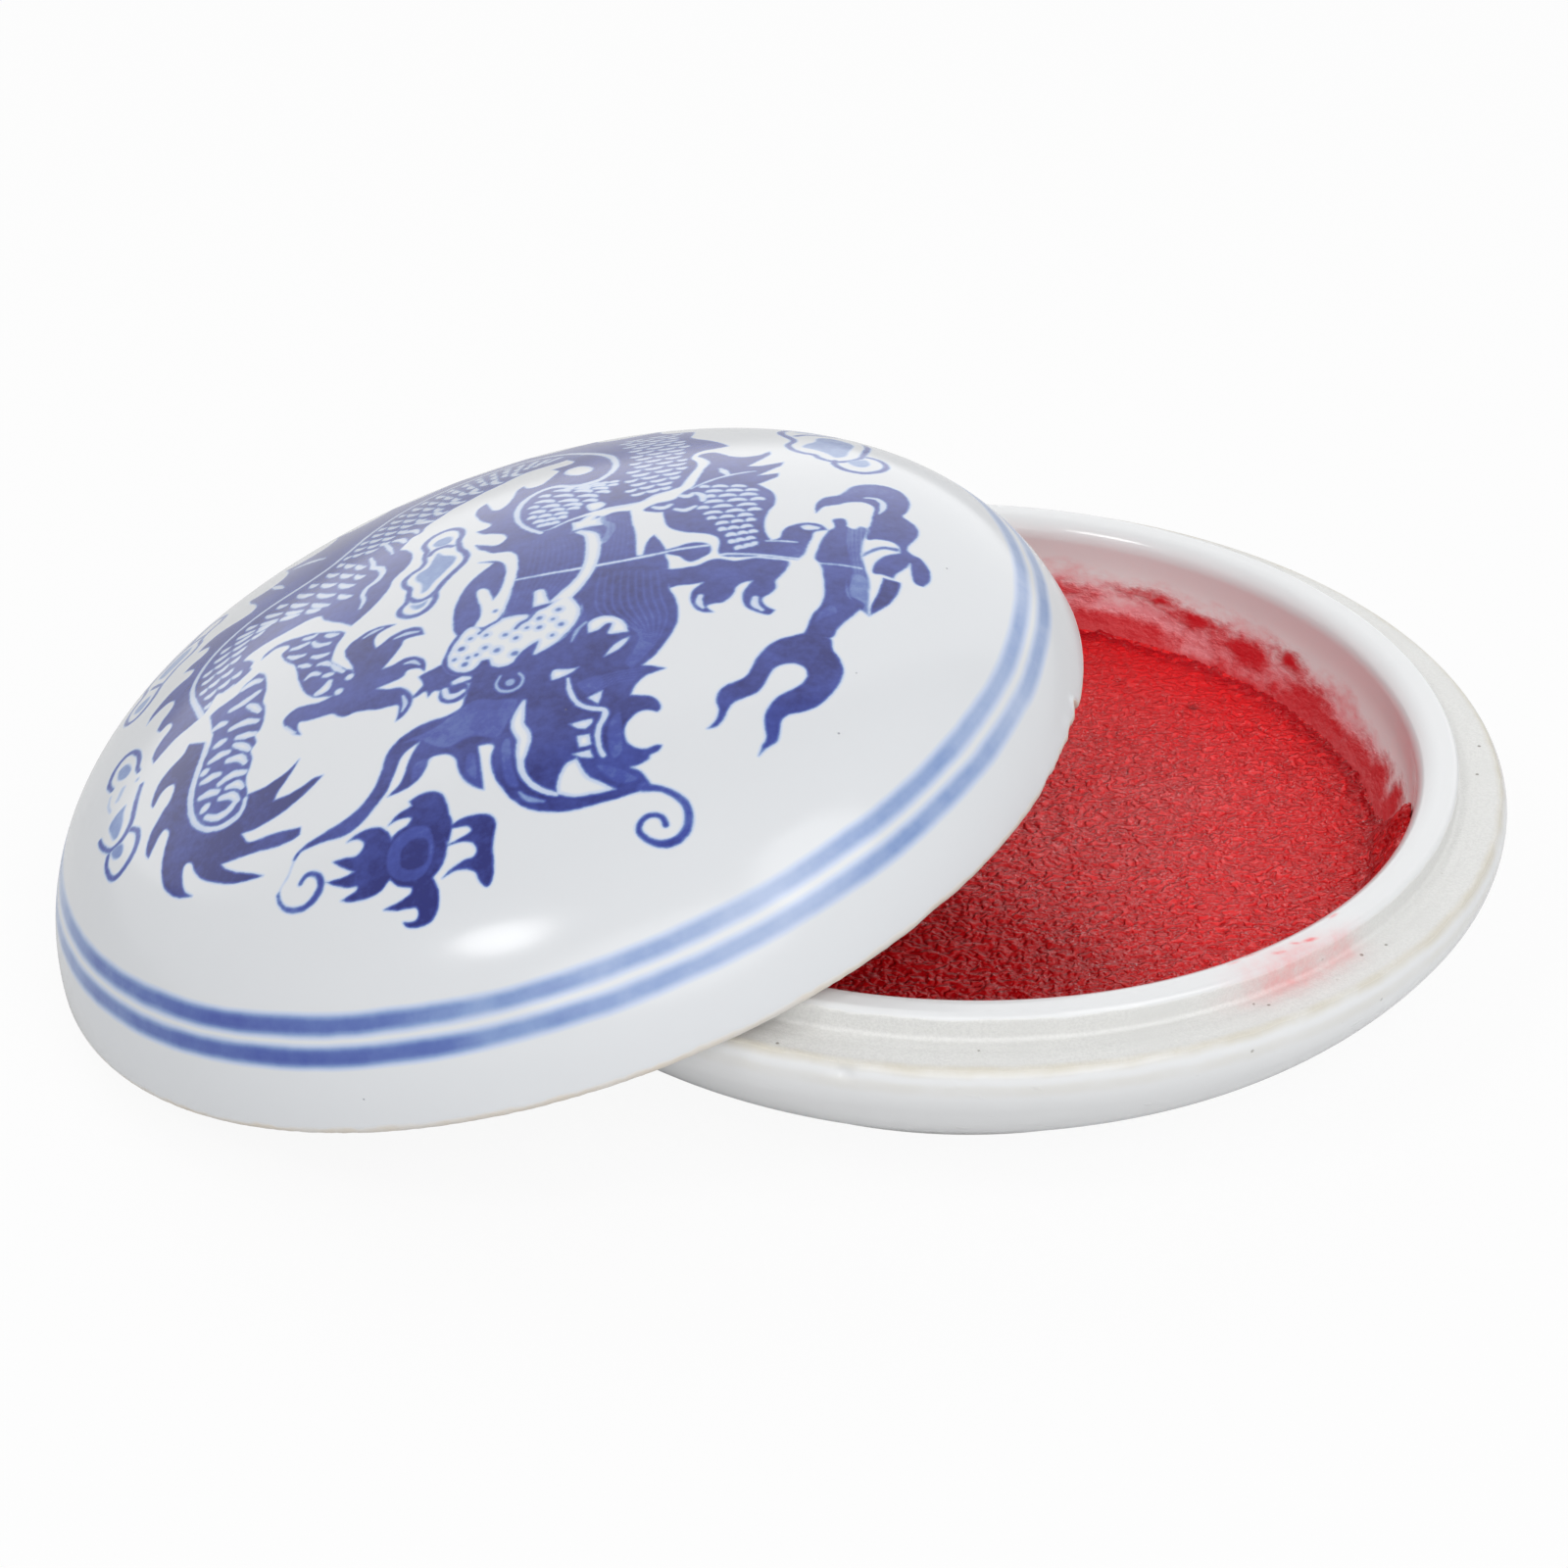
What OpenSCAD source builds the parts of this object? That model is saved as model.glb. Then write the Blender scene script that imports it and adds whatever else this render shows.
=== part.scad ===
// Round porcelain box for red seal paste: a footed base bowl, the paste in its well, and a domed lid.
// The lid is shown as it is left in use: slid half off, one edge on the table and the rest of its rim
// across the raised lip of the base. Origin: centre of the foot ring, on the table. +Z is up, and the
// lid has slid off towards -X.

/* [Base] */
// Outside diameter of the base at its widest
base_d = 90; // [84:1:100]
// Height of the flat ledge that carries the lid, above the table
ledge_h = 15.3; // [14:0.1:17]
// Width of the unglazed ledge outside the lip
ledge_w = 3.4; // [3:0.1:4]
// Height of the raised lip above the ledge
lip_h = 2; // [1.4:0.1:2.6]
// Thickness of the lip and of the wall of the well
lip_t = 3.3; // [2.9:0.1:4]
// Turned-over edge below the ledge: radius of its arc
edge_r = 2; // [1.6:0.1:2.4]
// Shoulder of the outer wall: radius of its arc
shoulder_r = 5.2; // [4:0.1:6.5]

/* [Foot] */
// Outside diameter of the foot ring where it stands on the table
foot_d = 65.2; // [58:0.2:68]
// Height of the foot ring, up to where the belly starts
foot_h = 2.4; // [1.8:0.1:3]
// Width of the foot ring where it stands on the table
foot_w = 2.8; // [2:0.1:4]
// Thickness of the floor inside the foot ring
floor_t = 2.8; // [2.4:0.1:3.4]

/* [Well and paste] */
// Radius between the wall and the floor of the well
well_r = 8.6; // [7:0.1:9]
// Height of the paste above the table, at the wall
paste_h = 8.5; // [7.5:0.1:10]
// How far the middle of the paste is pressed down
paste_dish = 0.5; // [0.2:0.1:0.8]
// Radius of the curve by which the paste climbs to the wall
paste_edge_r = 8; // [5:0.5:10]
// Height of the ridge that the spatula has pushed up the wall
ridge_h = 5; // [3:0.1:5.4]
// Length of the ridge along the wall, as an angle
ridge_span = 46; // [20:1:70]
// Middle of the ridge, as an angle from +X
ridge_at = -25; // [-60:1:10]

/* [Lid] */
// How far the lid's rim stands back from the edge of the base
rim_back = 0.7; // [0.5:0.1:1]
// Lean of the lid's wall at the rim, from upright
rim_lean = 7; // [4:1:10]
// Radius of the lid's shoulder
lid_shoulder_r = 17.3; // [15:0.1:19]
// Steepness at which the shoulder runs into the crown: 90 is level
crown_from = 66; // [60:1:70]
// Radius of the rounded edges of the unglazed rim
rim_r = 0.6; // [0.4:0.1:0.8]
// Clearance between the lip and the lid's rim when the box is closed, on the radius
lid_fit = 0.4; // [0.3:0.1:0.6]

/* [Pose] */
// How far the lid has slid off the base
lid_shift = 32.4; // [28:0.2:36]
// Clearance kept where the rim lies on the lip
rest_gap = 0.3; // [0.2:0.05:0.4]

/* [Hidden] */
$fn = 180;
glaze_colour = [0.93, 0.94, 0.95];
paste_colour = [0.72, 0.07, 0.08];

base_r = base_d / 2;
foot_r = foot_d / 2;
lip_top = ledge_h + lip_h;

// Angles, from level, at which one arc of the outer wall runs into the next
edge_turn = 50;
shoulder_turn = -30;
foot_flare = 0.45;
lip_round = 0.6;
lip_inner_round = 1.8;

// Outer wall, from the widest line up to the ledge and down to the foot
wide_z = ledge_h - edge_r * sin(edge_turn);
edge_c = [base_r - edge_r, wide_z];
ledge_r = edge_c.x + edge_r * cos(edge_turn);
shoulder_c = [base_r - shoulder_r, wide_z];
shoulder_end = shoulder_c + shoulder_r * unit(shoulder_turn);
belly_end = [foot_r + foot_flare, foot_h];
belly_r = reach_r(shoulder_end, shoulder_turn, belly_end);
belly_c = shoulder_end - belly_r * unit(shoulder_turn);

// Lip and well
lip_r = ledge_r - ledge_w;
well_wall_r = lip_r - lip_t;
well_floor_z = foot_h + floor_t;
well_c = [well_wall_r - well_r, well_floor_z + well_r];
inner_round_c = [well_wall_r + lip_inner_round, lip_top - lip_inner_round];
outer_round_c = [lip_r - lip_round, lip_top - lip_round];

// Paste: it stands off the wall all round, and its ridge a little further
seat_gap = 0.1;
ridge_gap = 0.2;
paste_r = well_wall_r - seat_gap;
dish_c = [paste_r - sqrt(paste_dish * (2 * paste_edge_r - paste_dish)), paste_h - paste_dish + paste_edge_r];
ridge_foot_t = 3.4;
ridge_top_t = 0.7;

// How far pieces of one outline run into each other, in mm and in degrees of an arc, and how far a
// shape that cuts or trims runs past what it cuts
overlap = 0.4;
arc_overlap = 6;
past = 1;

// Where one arc runs smoothly into another, or into a straight, the smaller is this much larger, so
// that the two cross in one clean edge
blend = 0.002;

// Lid: one shoulder arc, and a crown that is tangent to it and level on the axis
lid_r = base_r - rim_back;
lid_t = lid_r - lip_r - lid_fit;
lid_c = [lid_r - lid_shoulder_r * cos(rim_lean), -lid_shoulder_r * sin(rim_lean)];
crown_end = lid_c + lid_shoulder_r * unit(crown_from);
crown_r = crown_end.x / cos(crown_from);
crown_c = [0, crown_end.y - crown_r * sin(crown_from)];
crown_in = lid_c + (lid_shoulder_r - lid_t) * unit(crown_from);
lid_h = crown_c.y + crown_r;

// Rounded rim: each round touches the foot of the rim and one face of the wall
rim_out_c = [lid_c.x + across(lid_shoulder_r - rim_r), rim_r];
rim_in_c = [lid_c.x + across(lid_shoulder_r - lid_t + rim_r), rim_r];
rim_out_turn = asin((rim_r - lid_c.y) / (lid_shoulder_r - rim_r));
rim_in_turn = asin((rim_r - lid_c.y) / (lid_shoulder_r - lid_t + rim_r));
rim_in_meet = lid_c + (lid_shoulder_r - lid_t - overlap) * unit(rim_in_turn);

// Resting pose: the rim's low edge is on the table, and its inner edge lies on the lip
lid_tilt = settle(15, 12);
lid_lift = rim_r + rim_out_c.x * sin(lid_tilt) - rim_r * cos(lid_tilt);

function unit(a) = [cos(a), sin(a)];

// Radius of the arc that leaves p square to the direction a and passes through q
function reach_r(p, a, q) = -((q - p) * (q - p)) / (2 * ((q - p) * unit(a)));

// Level distance from the shoulder's centre to a rim round whose centre is r away
function across(r) = sqrt(r * r - pow(rim_r - lid_c.y, 2));

// The rim's inner round and the lip's outer round are tubes about two circles. In plan the circles
// cross this far uphill of the lid's centre, measured along the rim, at a tilt of t.
function crossing(t) = let (
    b = lid_shift * cos(t),
    c = pow(lid_shift, 2) + pow(rim_in_c.x, 2) - pow(outer_round_c.x, 2)
) c / (b + sqrt(b * b + c * pow(sin(t), 2)));

// Height between the circles at that crossing when the tubes are the clearance apart: the tubes are
// nearest along the direction that is square to both circles
function stack_h(t, u) = let (
    v = sqrt(pow(rim_in_c.x, 2) - u * u),
    square_to_both = cross([-v, u * cos(t) - lid_shift, 0], [-v * cos(t), u, -v * sin(t)])
) (rim_r + lip_round + rest_gap) * norm(square_to_both) / abs(square_to_both.z);

// The tilt at which the rim's low edge is on the table and its inner round rests on the lip, found by
// repeated steps
function settle(t, n) = n == 0 ? t : let (u = crossing(t)) settle(
    asin((outer_round_c.y + stack_h(t, u) - rim_r) / (rim_out_c.x + u)), n - 1);

// Slice of a disc between two directions: an arc with straight sides back to its centre
module slice(c, r, from, to) {
    far = (r + past) / cos((to - from) / 2);
    intersection() {
        translate(c) circle(r);
        polygon([c, c + far * unit(from), c + far * unit(to)]);
    }
}

// Everything inside the base's outer wall, up to the ledge
module base_outline() {
    belly_turn = atan2(belly_end.y - belly_c.y, belly_end.x - belly_c.x);
    intersection() {
        union() {
            slice(edge_c, edge_r + 2 * blend, -arc_overlap, 90);
            slice(shoulder_c, shoulder_r + blend, shoulder_turn - arc_overlap, 0);
            slice(belly_c, belly_r, belly_turn - arc_overlap, shoulder_turn);
            polygon([
                [0, foot_h],
                [foot_r - foot_w / 2, foot_h],
                shoulder_end - [overlap, 0],
                edge_c + [overlap, 0],
                [edge_c.x + overlap, ledge_h + past],
                [0, ledge_h + past],
            ]);
        }
        square([base_r + past, ledge_h]);
    }
}

// Raised lip, with its rounded top corners
module lip_outline() {
    difference() {
        translate([well_wall_r - past, ledge_h - overlap]) square([lip_t + past, lip_h + overlap]);
        difference() {
            translate(outer_round_c) square(lip_round + past);
            translate(outer_round_c) circle(lip_round + blend);
        }
        difference() {
            translate([inner_round_c.x - lip_inner_round - past, inner_round_c.y])
                square(lip_inner_round + past);
            translate(inner_round_c) circle(lip_inner_round + blend);
        }
    }
}

// The well, grown inwards by gap, from its floor up to the height top
module well_outline(gap, top) {
    slice(well_c, well_r - gap + blend, -90 - arc_overlap, arc_overlap);
    translate([0, well_floor_z + gap]) square([well_c.x, top - well_floor_z - gap]);
    translate([0, well_c.y]) square([well_wall_r - gap, top - well_c.y]);
}

module foot_outline() {
    polygon([
        [foot_r - foot_w, 0],
        [foot_r, 0],
        [foot_r + foot_flare, foot_h],
        [foot_r + foot_flare - past, foot_h + past],
        [foot_r - foot_w - foot_flare + past, foot_h + past],
        [foot_r - foot_w - foot_flare, foot_h],
    ]);
}

// Porcelain base: foot ring, rounded belly, unglazed ledge, raised lip and the well for the paste
module base_bowl() {
    color(glaze_colour) rotate_extrude() {
        difference() {
            union() {
                base_outline();
                lip_outline();
                foot_outline();
            }
            well_outline(0, lip_top + past);
        }
    }
}

// Section of the ridge: thick at the paste, thin where it ends on the wall
module ridge_outline() {
    intersection() {
        well_outline(ridge_gap, paste_h + ridge_h);
        polygon([
            [paste_r - ridge_foot_t, paste_h - past],
            [paste_r + past, paste_h - past],
            [paste_r + past, paste_h + ridge_h],
            [paste_r - ridge_top_t, paste_h + ridge_h],
        ]);
    }
}

// The paste as it lies: pressed down in the middle, with a ridge pushed up the wall on one side
module seal_paste() {
    color(paste_colour) {
        rotate_extrude() difference() {
            intersection() {
                well_outline(seat_gap, lip_top);
                square([paste_r, paste_h]);
            }
            translate(dish_c) circle(paste_edge_r + blend);
            translate([0, paste_h - paste_dish]) square([dish_c.x, paste_dish + past]);
        }
        rotate([0, 0, ridge_at - ridge_span / 2]) rotate_extrude(angle = ridge_span) ridge_outline();
    }
}

// Everything under the lid's outer face, down to its rim
module lid_outline() {
    slice(crown_c, crown_r, crown_from, 90 + arc_overlap);
    slice(lid_c, lid_shoulder_r + blend, rim_out_turn, crown_from + arc_overlap);
    slice(rim_out_c, rim_r + 2 * blend, -90 - arc_overlap, rim_out_turn + arc_overlap);
    polygon([
        [0, 0],
        [rim_out_c.x, 0],
        rim_out_c + [overlap, 0],
        crown_end - [overlap, overlap],
        [0, crown_end.y],
    ]);
}

// The hollow of the lid: its wall is the same thickness all over
module lid_hollow() {
    difference() {
        union() {
            slice(crown_c, crown_r - lid_t, crown_from, 90 + arc_overlap);
            slice(lid_c, lid_shoulder_r - lid_t + blend, rim_in_turn - arc_overlap, crown_from + arc_overlap);
            polygon([
                [0, -past],
                [rim_in_c.x, -past],
                rim_in_c,
                rim_in_meet,
                crown_in - [overlap, overlap],
                [0, crown_in.y],
            ]);
        }
        translate(rim_in_c) circle(rim_r + 2 * blend);
    }
}

// Domed porcelain lid, upright, with its rim at z = 0
module lid_shell() {
    rotate_extrude() intersection() {
        difference() {
            lid_outline();
            lid_hollow();
        }
        square([lid_r + past, lid_h + past]);
    }
}

module lid() {
    color(glaze_colour) translate([-lid_shift, 0, lid_lift]) rotate([0, -lid_tilt, 0]) lid_shell();
}

base_bowl();
seal_paste();
lid();
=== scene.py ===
import math

import bpy
import numpy as np
from mathutils import Matrix, Vector


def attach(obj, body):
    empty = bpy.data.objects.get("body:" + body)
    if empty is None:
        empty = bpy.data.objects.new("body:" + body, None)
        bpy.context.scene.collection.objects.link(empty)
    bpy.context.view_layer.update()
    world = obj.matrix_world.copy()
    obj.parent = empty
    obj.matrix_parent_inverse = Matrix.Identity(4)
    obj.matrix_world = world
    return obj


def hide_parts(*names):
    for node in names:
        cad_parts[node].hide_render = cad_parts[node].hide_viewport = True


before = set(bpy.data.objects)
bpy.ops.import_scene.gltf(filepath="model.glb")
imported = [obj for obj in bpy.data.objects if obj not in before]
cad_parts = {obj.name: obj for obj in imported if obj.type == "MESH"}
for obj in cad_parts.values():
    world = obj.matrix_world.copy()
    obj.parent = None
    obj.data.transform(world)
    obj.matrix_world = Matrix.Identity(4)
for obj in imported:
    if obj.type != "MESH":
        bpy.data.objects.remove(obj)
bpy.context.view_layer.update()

mm = 0.001  # every outline below is in millimetres, and meshes are made in metres
print("frame loaded:", sorted(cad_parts))


# Curves and outlines

def arc(centre, radius, start, end, step):
    # points along an arc, in degrees from level, about one step apart
    count = max(2, math.ceil(abs(math.radians(end - start)) * radius / step) + 1)
    turn = np.radians(np.linspace(start, end, count))
    return np.column_stack([centre[0] + radius * np.cos(turn), centre[1] + radius * np.sin(turn)])


def straight(start, end, step):
    start = np.asarray(start, float)
    end = np.asarray(end, float)
    count = max(2, math.ceil(math.dist(start, end) / step) + 1)
    return start + np.linspace(0, 1, count)[:, None] * (end - start)


def joined(*stretches):
    # one outline from stretches that follow each other, without the doubled points where they meet
    points = np.concatenate(stretches)
    gaps = np.hypot(*np.diff(points, axis=0).T)
    return points[np.concatenate([[True], gaps > 0.02])]


def travelled(points):
    return np.concatenate([[0], np.cumsum(np.hypot(*np.diff(points, axis=0).T))])


def smoothstep(low, high, x):
    t = np.clip((x - low) / (high - low), 0, 1)
    return t * t * (3 - 2 * t)


def wrapped(degrees):
    # the same angle, between -180 and 180 degrees
    return (degrees + 180) % 360 - 180


def apart(angle, middle):
    return np.abs(wrapped(angle - middle))


# Smooth seeded noise over a plane, for the shapes of meshes

scatter = (374761393, 668265263, 69069, 1274126177)  # large odd factors that mix up a cell's numbers
lowBits = 0x7fffffff


def hashed(column, row, seed):
    mixed = column.astype(np.int64) * scatter[0] + row.astype(np.int64) * scatter[1] + seed * scatter[2]
    mixed = mixed & lowBits
    mixed = ((mixed ^ (mixed >> 13)) * scatter[3]) & lowBits
    return ((mixed ^ (mixed >> 16)) & 0xffff) / 0xffff * 2 - 1


def noise(x, y, size, seed, layers=1):
    total = 0
    strength = 1
    for layer in range(layers):
        u = x / size * 2 ** layer
        v = y / size * 2 ** layer
        column = np.floor(u)
        row = np.floor(v)
        a = smoothstep(0, 1, u - column)
        b = smoothstep(0, 1, v - row)
        low = hashed(column, row, seed + layer) * (1 - a) + hashed(column + 1, row, seed + layer) * a
        high = hashed(column, row + 1, seed + layer) * (1 - a) + hashed(column + 1, row + 1, seed + layer) * a
        total = total + strength * (low * (1 - b) + high * b)
        strength *= 0.5
    return total


# Turned bodies: rings of points about the axis, each with the number of points that suits its radius

def stitched(lower, upper, lowerCount, upperCount):
    # triangles between two rings that may differ in their number of points
    events = np.concatenate([(np.arange(count) + 0.5) / count for count in (lowerCount, upperCount)])
    onLower = np.argsort(events, kind="stable") < lowerCount
    if lowerCount == 1:
        onLower = np.zeros(upperCount, bool)
    if upperCount == 1:
        onLower = np.ones(lowerCount, bool)
    i = np.cumsum(onLower) - onLower
    j = np.cumsum(~onLower) - ~onLower
    a = lower + i % lowerCount
    b = upper + j % upperCount
    third = np.where(onLower, lower + (i + 1) % lowerCount, upper + (j + 1) % upperCount)
    return np.column_stack([a, third, b])


def turned(outline, pitch):
    # outline runs from the axis back to the axis; pitch is the spacing of the points on each ring
    radii = outline[:, 0]
    counts = np.where(radii < 0.01, 1, np.maximum(8, np.round(2 * np.pi * radii / pitch))).astype(int)
    starts = np.concatenate([[0], np.cumsum(counts)])
    ring = np.repeat(np.arange(len(counts)), counts)
    angle = 2 * np.pi * (np.arange(starts[-1]) - starts[ring]) / counts[ring]
    triangles = np.concatenate([
        stitched(starts[k], starts[k + 1], counts[k], counts[k + 1]) for k in range(len(counts) - 1)])
    return {
        "radius": radii[ring],
        "height": outline[ring, 1],
        "angle": angle,
        "course": travelled(outline)[ring],
        "triangles": triangles,
    }


def placed(body):
    return np.column_stack([
        body["radius"] * np.cos(body["angle"]), body["radius"] * np.sin(body["angle"]), body["height"]])


def meshPiece(name, points, triangles, layers, chart):
    # layers are numbers for each point that the finish reads; chart is each corner's place on a flat map
    corners = points[triangles]
    if np.einsum("ij,ij->", corners[:, 0], np.cross(corners[:, 1], corners[:, 2])) < 0:
        triangles = triangles[:, ::-1]
    mesh = bpy.data.meshes.new(name)
    mesh.vertices.add(len(points))
    mesh.vertices.foreach_set("co", (points * mm).astype(np.float32).ravel())
    mesh.loops.add(triangles.size)
    mesh.loops.foreach_set("vertex_index", triangles.astype(np.int32).ravel())
    mesh.polygons.add(len(triangles))
    mesh.polygons.foreach_set("loop_start", np.arange(0, triangles.size, 3, dtype=np.int32))
    mesh.update(calc_edges=True)
    mesh.shade_smooth()
    for key, values in layers.items():
        layer = mesh.attributes.new(key, "FLOAT", "POINT")
        layer.data.foreach_set("value", np.asarray(values, np.float32))
    flat = mesh.uv_layers.new(name="OFBake")
    flat.data.foreach_set("uv", chart(triangles).astype(np.float32).ravel())
    piece = bpy.data.objects.new(name, mesh)
    bpy.context.scene.collection.objects.link(piece)
    print("made", name, len(points), "points", len(triangles), "faces")
    return piece


def discChart(body, split, full, first, second):
    # Flat map of a turned body in two discs: the side before split on the course, and the side after it.
    # first and second are (centre x, centre y, radius) on the map; full is the whole course.
    def chart(triangles):
        course = body["course"][triangles]
        angle = body["angle"][triangles]
        early = course.mean(axis=1, keepdims=True) < split
        reach = np.where(early, course / split * first[2], (full - course) / (full - split) * second[2])
        middleX = np.where(early, first[0], second[0])
        middleY = np.where(early, first[1], second[1])
        return np.stack([middleX + reach * np.cos(angle), middleY + reach * np.sin(angle)], axis=-1)
    return chart


# Finishes

class Reading:  # a socket that does arithmetic by adding Math nodes
    def __init__(self, finish, socket):
        self.finish = finish
        self.socket = socket

    def maths(self, operation, first, second):
        return self.finish.node("ShaderNodeMath", {"operation": operation}, {0: first, 1: second})

    def __add__(self, other):
        return self.maths("ADD", self, other)

    __radd__ = __add__

    def __mul__(self, other):
        return self.maths("MULTIPLY", self, other)

    __rmul__ = __mul__

    def __sub__(self, other):
        return self.maths("SUBTRACT", self, other)

    def __rsub__(self, other):
        return self.maths("SUBTRACT", other, self)

    def __pow__(self, other):
        return self.maths("POWER", self, other)

    def __abs__(self):
        return self.maths("ABSOLUTE", self, 0)

    def top(self, other):
        return self.maths("MAXIMUM", self, other)

    def ease(self, low, high, start=0.0, end=1.0):
        return self.finish.node(
            "ShaderNodeMapRange", {"interpolation_type": "SMOOTHSTEP"},
            {"Value": self, "From Min": low, "From Max": high, "To Min": start, "To Max": end})


class Nodes:  # the node tree of a material or of the world
    def __init__(self, data):
        self.data = data
        data.use_nodes = True
        self.tree = data.node_tree
        self.tree.nodes.clear()

    def node(self, kind, settings=None, sockets=None, output=0):
        made = self.tree.nodes.new(kind)
        for key, value in (settings or {}).items():
            if key == "stops":
                while len(made.color_ramp.elements) < len(value):
                    made.color_ramp.elements.new(0.5)
                for element, (position, colour) in zip(made.color_ramp.elements, value):
                    element.position = position
                    element.color = (*colour, 1)
            else:
                setattr(made, key, value)
        for key, value in (sockets or {}).items():
            if isinstance(value, Reading):
                self.tree.links.new(value.socket, made.inputs[key])
            elif hasattr(value, "__len__") and len(value) == 3 and made.inputs[key].type == "RGBA":
                made.inputs[key].default_value = (*value, 1)
            else:
                made.inputs[key].default_value = value
        return Reading(self, made.outputs[output]) if made.outputs else None


class Finish(Nodes):  # one material and the patterns that it is made of
    def __init__(self, name):
        super().__init__(bpy.data.materials.new(name))
        self.place = self.node("ShaderNodeTexCoord", output="Object")

    def layer(self, name):
        return self.node("ShaderNodeAttribute", {"attribute_name": name}, output="Fac")

    def grain(self, size, detail=2.0, roughness=0.5, where=None):
        # cloudy noise of about this size in millimetres, from 0 to 1
        return self.node("ShaderNodeTexNoise", {}, {
            "Vector": where or self.place,
            "Scale": 1 / (size * mm),
            "Detail": detail,
            "Roughness": roughness,
        })

    def cells(self, size):
        # how far a place is from the middle of its cell, where the cells have about this size
        return self.node(
            "ShaderNodeTexVoronoi", {}, {"Vector": self.place, "Scale": 1 / (size * mm)}, output="Distance")

    def mix(self, factor, first, second):
        # a Mix node takes colours at its sockets 6 and 7, and its colour comes out of 2
        return self.node("ShaderNodeMix", {"data_type": "RGBA"}, {0: factor, 6: first, 7: second}, output=2)

    def stretch(self, scale):
        return self.node("ShaderNodeVectorMath", {"operation": "MULTIPLY"}, {0: self.place, 1: scale})

    def bump(self, height, distance, under=None):
        sockets = {"Height": height, "Distance": distance * mm, "Strength": 1.0}
        if under:
            sockets["Normal"] = under
        return self.node("ShaderNodeBump", {}, sockets)

    def surface(self, **sockets):
        named = {key.replace("_", " "): value for key, value in sockets.items()}
        shader = self.node("ShaderNodeBsdfPrincipled", {}, named)
        self.node("ShaderNodeOutputMaterial", {}, {"Surface": shader})
        return self.data


def dimmed(colour, share):
    return tuple(share * part for part in colour)


# Camera

view = {
    "target": Vector((-0.01431, 0.00042, 0.01178)),  # what the middle of the picture looks at
    "distance": 0.28,
    "elevation": 31.811,
    "turn": -1.682,  # about the upright axis
    "roll": -0.177,
    "lens": 77.092,  # for a square picture of 1600 by 1600
    "sensor": 36,
    "nearest": 0.01,
}


def makeCamera(s):
    data = bpy.data.cameras.new("camera")
    data.lens = s["lens"]
    data.sensor_width = s["sensor"]
    data.clip_start = s["nearest"]
    data.dof.use_dof = False
    camera = bpy.data.objects.new("camera", data)
    camera.matrix_world = (
        Matrix.Translation(s["target"])
        @ Matrix.Rotation(math.radians(s["turn"]), 4, "Z")
        @ Matrix.Rotation(math.radians(90 - s["elevation"]), 4, "X")
        @ Matrix.Rotation(math.radians(s["roll"]), 4, "Z")
        @ Matrix.Translation((0, 0, s["distance"])))
    bpy.context.scene.collection.objects.link(camera)
    bpy.context.scene.camera = camera
    print("camera placed")


makeCamera(view)


# Base bowl

base = {
    "width": 90.0,
    "ledgeHeight": 15.3,
    "ledgeWidth": 3.4,
    "lipHeight": 2.0,
    "lipWidth": 3.3,
    "edgeRadius": 2.0,
    "edgeTurn": 50.0,
    "shoulderRadius": 5.2,
    "shoulderTurn": -30.0,
    "footWidth": 65.2,
    "footFlare": 0.45,
    "footHeight": 2.4,
    "footThick": 2.8,
    "footRound": 0.35,
    "floorThick": 2.8,
    "wellRadius": 8.6,
    "lipOuterRound": 0.6,
    "lipInnerRound": 1.8,
    "ledgeCorner": 0.3,  # fillet between the ledge and the lip
    "glaze": (0.78, 0.79, 0.80),
    # painted light: a brighter, cyan-tinted glaze for the inner wall, lifting its shade and cancelling the
    # red light thrown on it by the paste
    "inside": (0.88, 0.97, 0.97),
    "bare": (0.78, 0.78, 0.765),
    "beige": (0.60, 0.55, 0.43),
    "pasteThin": (0.82, 0.19, 0.22),
    "pasteThick": (0.60, 0.010, 0.018),
    "filmFoot": 7.6,  # where the film meets the paste
    "filmReach": (  # angle about the axis and the height that the film reaches there
        (-180, 8.0), (-60, 8.2), (-40, 8.6), (-12, 11.4), (0, 11.4), (8, 11.6), (20, 12.6), (35, 12.8),
        (50, 13.2), (75, 14.0), (100, 13.4), (120, 10.5), (150, 9.0), (180, 8.0)),
    "filmLumps": (  # thick smears: angle, height, half width in degrees, half height, strength
        (57, 12.0, 5.5, 0.8, 1.1), (49, 11.2, 6.5, 0.9, 1.1), (62, 9.0, 8, 0.9, 1.0),
        (40, 10.4, 6, 1.2, 1.1), (33, 11.4, 4, 1.1, 1.1), (27, 9.8, 6, 1.4, 1.0), (12, 9.2, 6, 1.5, 0.9),
        (5, 9.4, 5, 2.0, 1.1), (-2, 10.0, 4, 1.9, 1.1), (71, 11.2, 7, 0.9, 0.9), (82, 9.0, 10, 1.0, 0.9),
        (22, 8.8, 7, 1.1, 1.0)),
    "wiped": (0.84, 0.12, 0.13),
    "pinhole": (0.16, 0.13, 0.10),
    "thrown": (0.05, 0.035, 0.5),  # how deep the ledge is turned, and height and spacing of its rings
    "nick": (-104.8, 14.4, 0.8, 0.45, 0.007),  # angle, height, half width in degrees, half height, depth
    "smears": (  # centre, direction in degrees, half length, half width, strength
        (22.4, -34.0, 32, 6.0, 2.0, 0.40), (26.4, -31.4, 38, 2.8, 1.4, 0.34),
        (24.0, -31.9, 20, 0.8, 0.28, 0.9), (22.8, -32.3, -30, 0.6, 0.22, 0.8),
        (21.4, -33.5, 10, 0.8, 0.25, 0.62), (17.9, -34.6, 30, 0.7, 0.2, 0.5),
        (26.3, -28.6, 50, 0.6, 0.25, 0.6), (19.4, -33.6, 24, 0.9, 0.2, 0.5)),
}


def unit(turn):
    return np.array([math.cos(math.radians(turn)), math.sin(math.radians(turn))])


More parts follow.
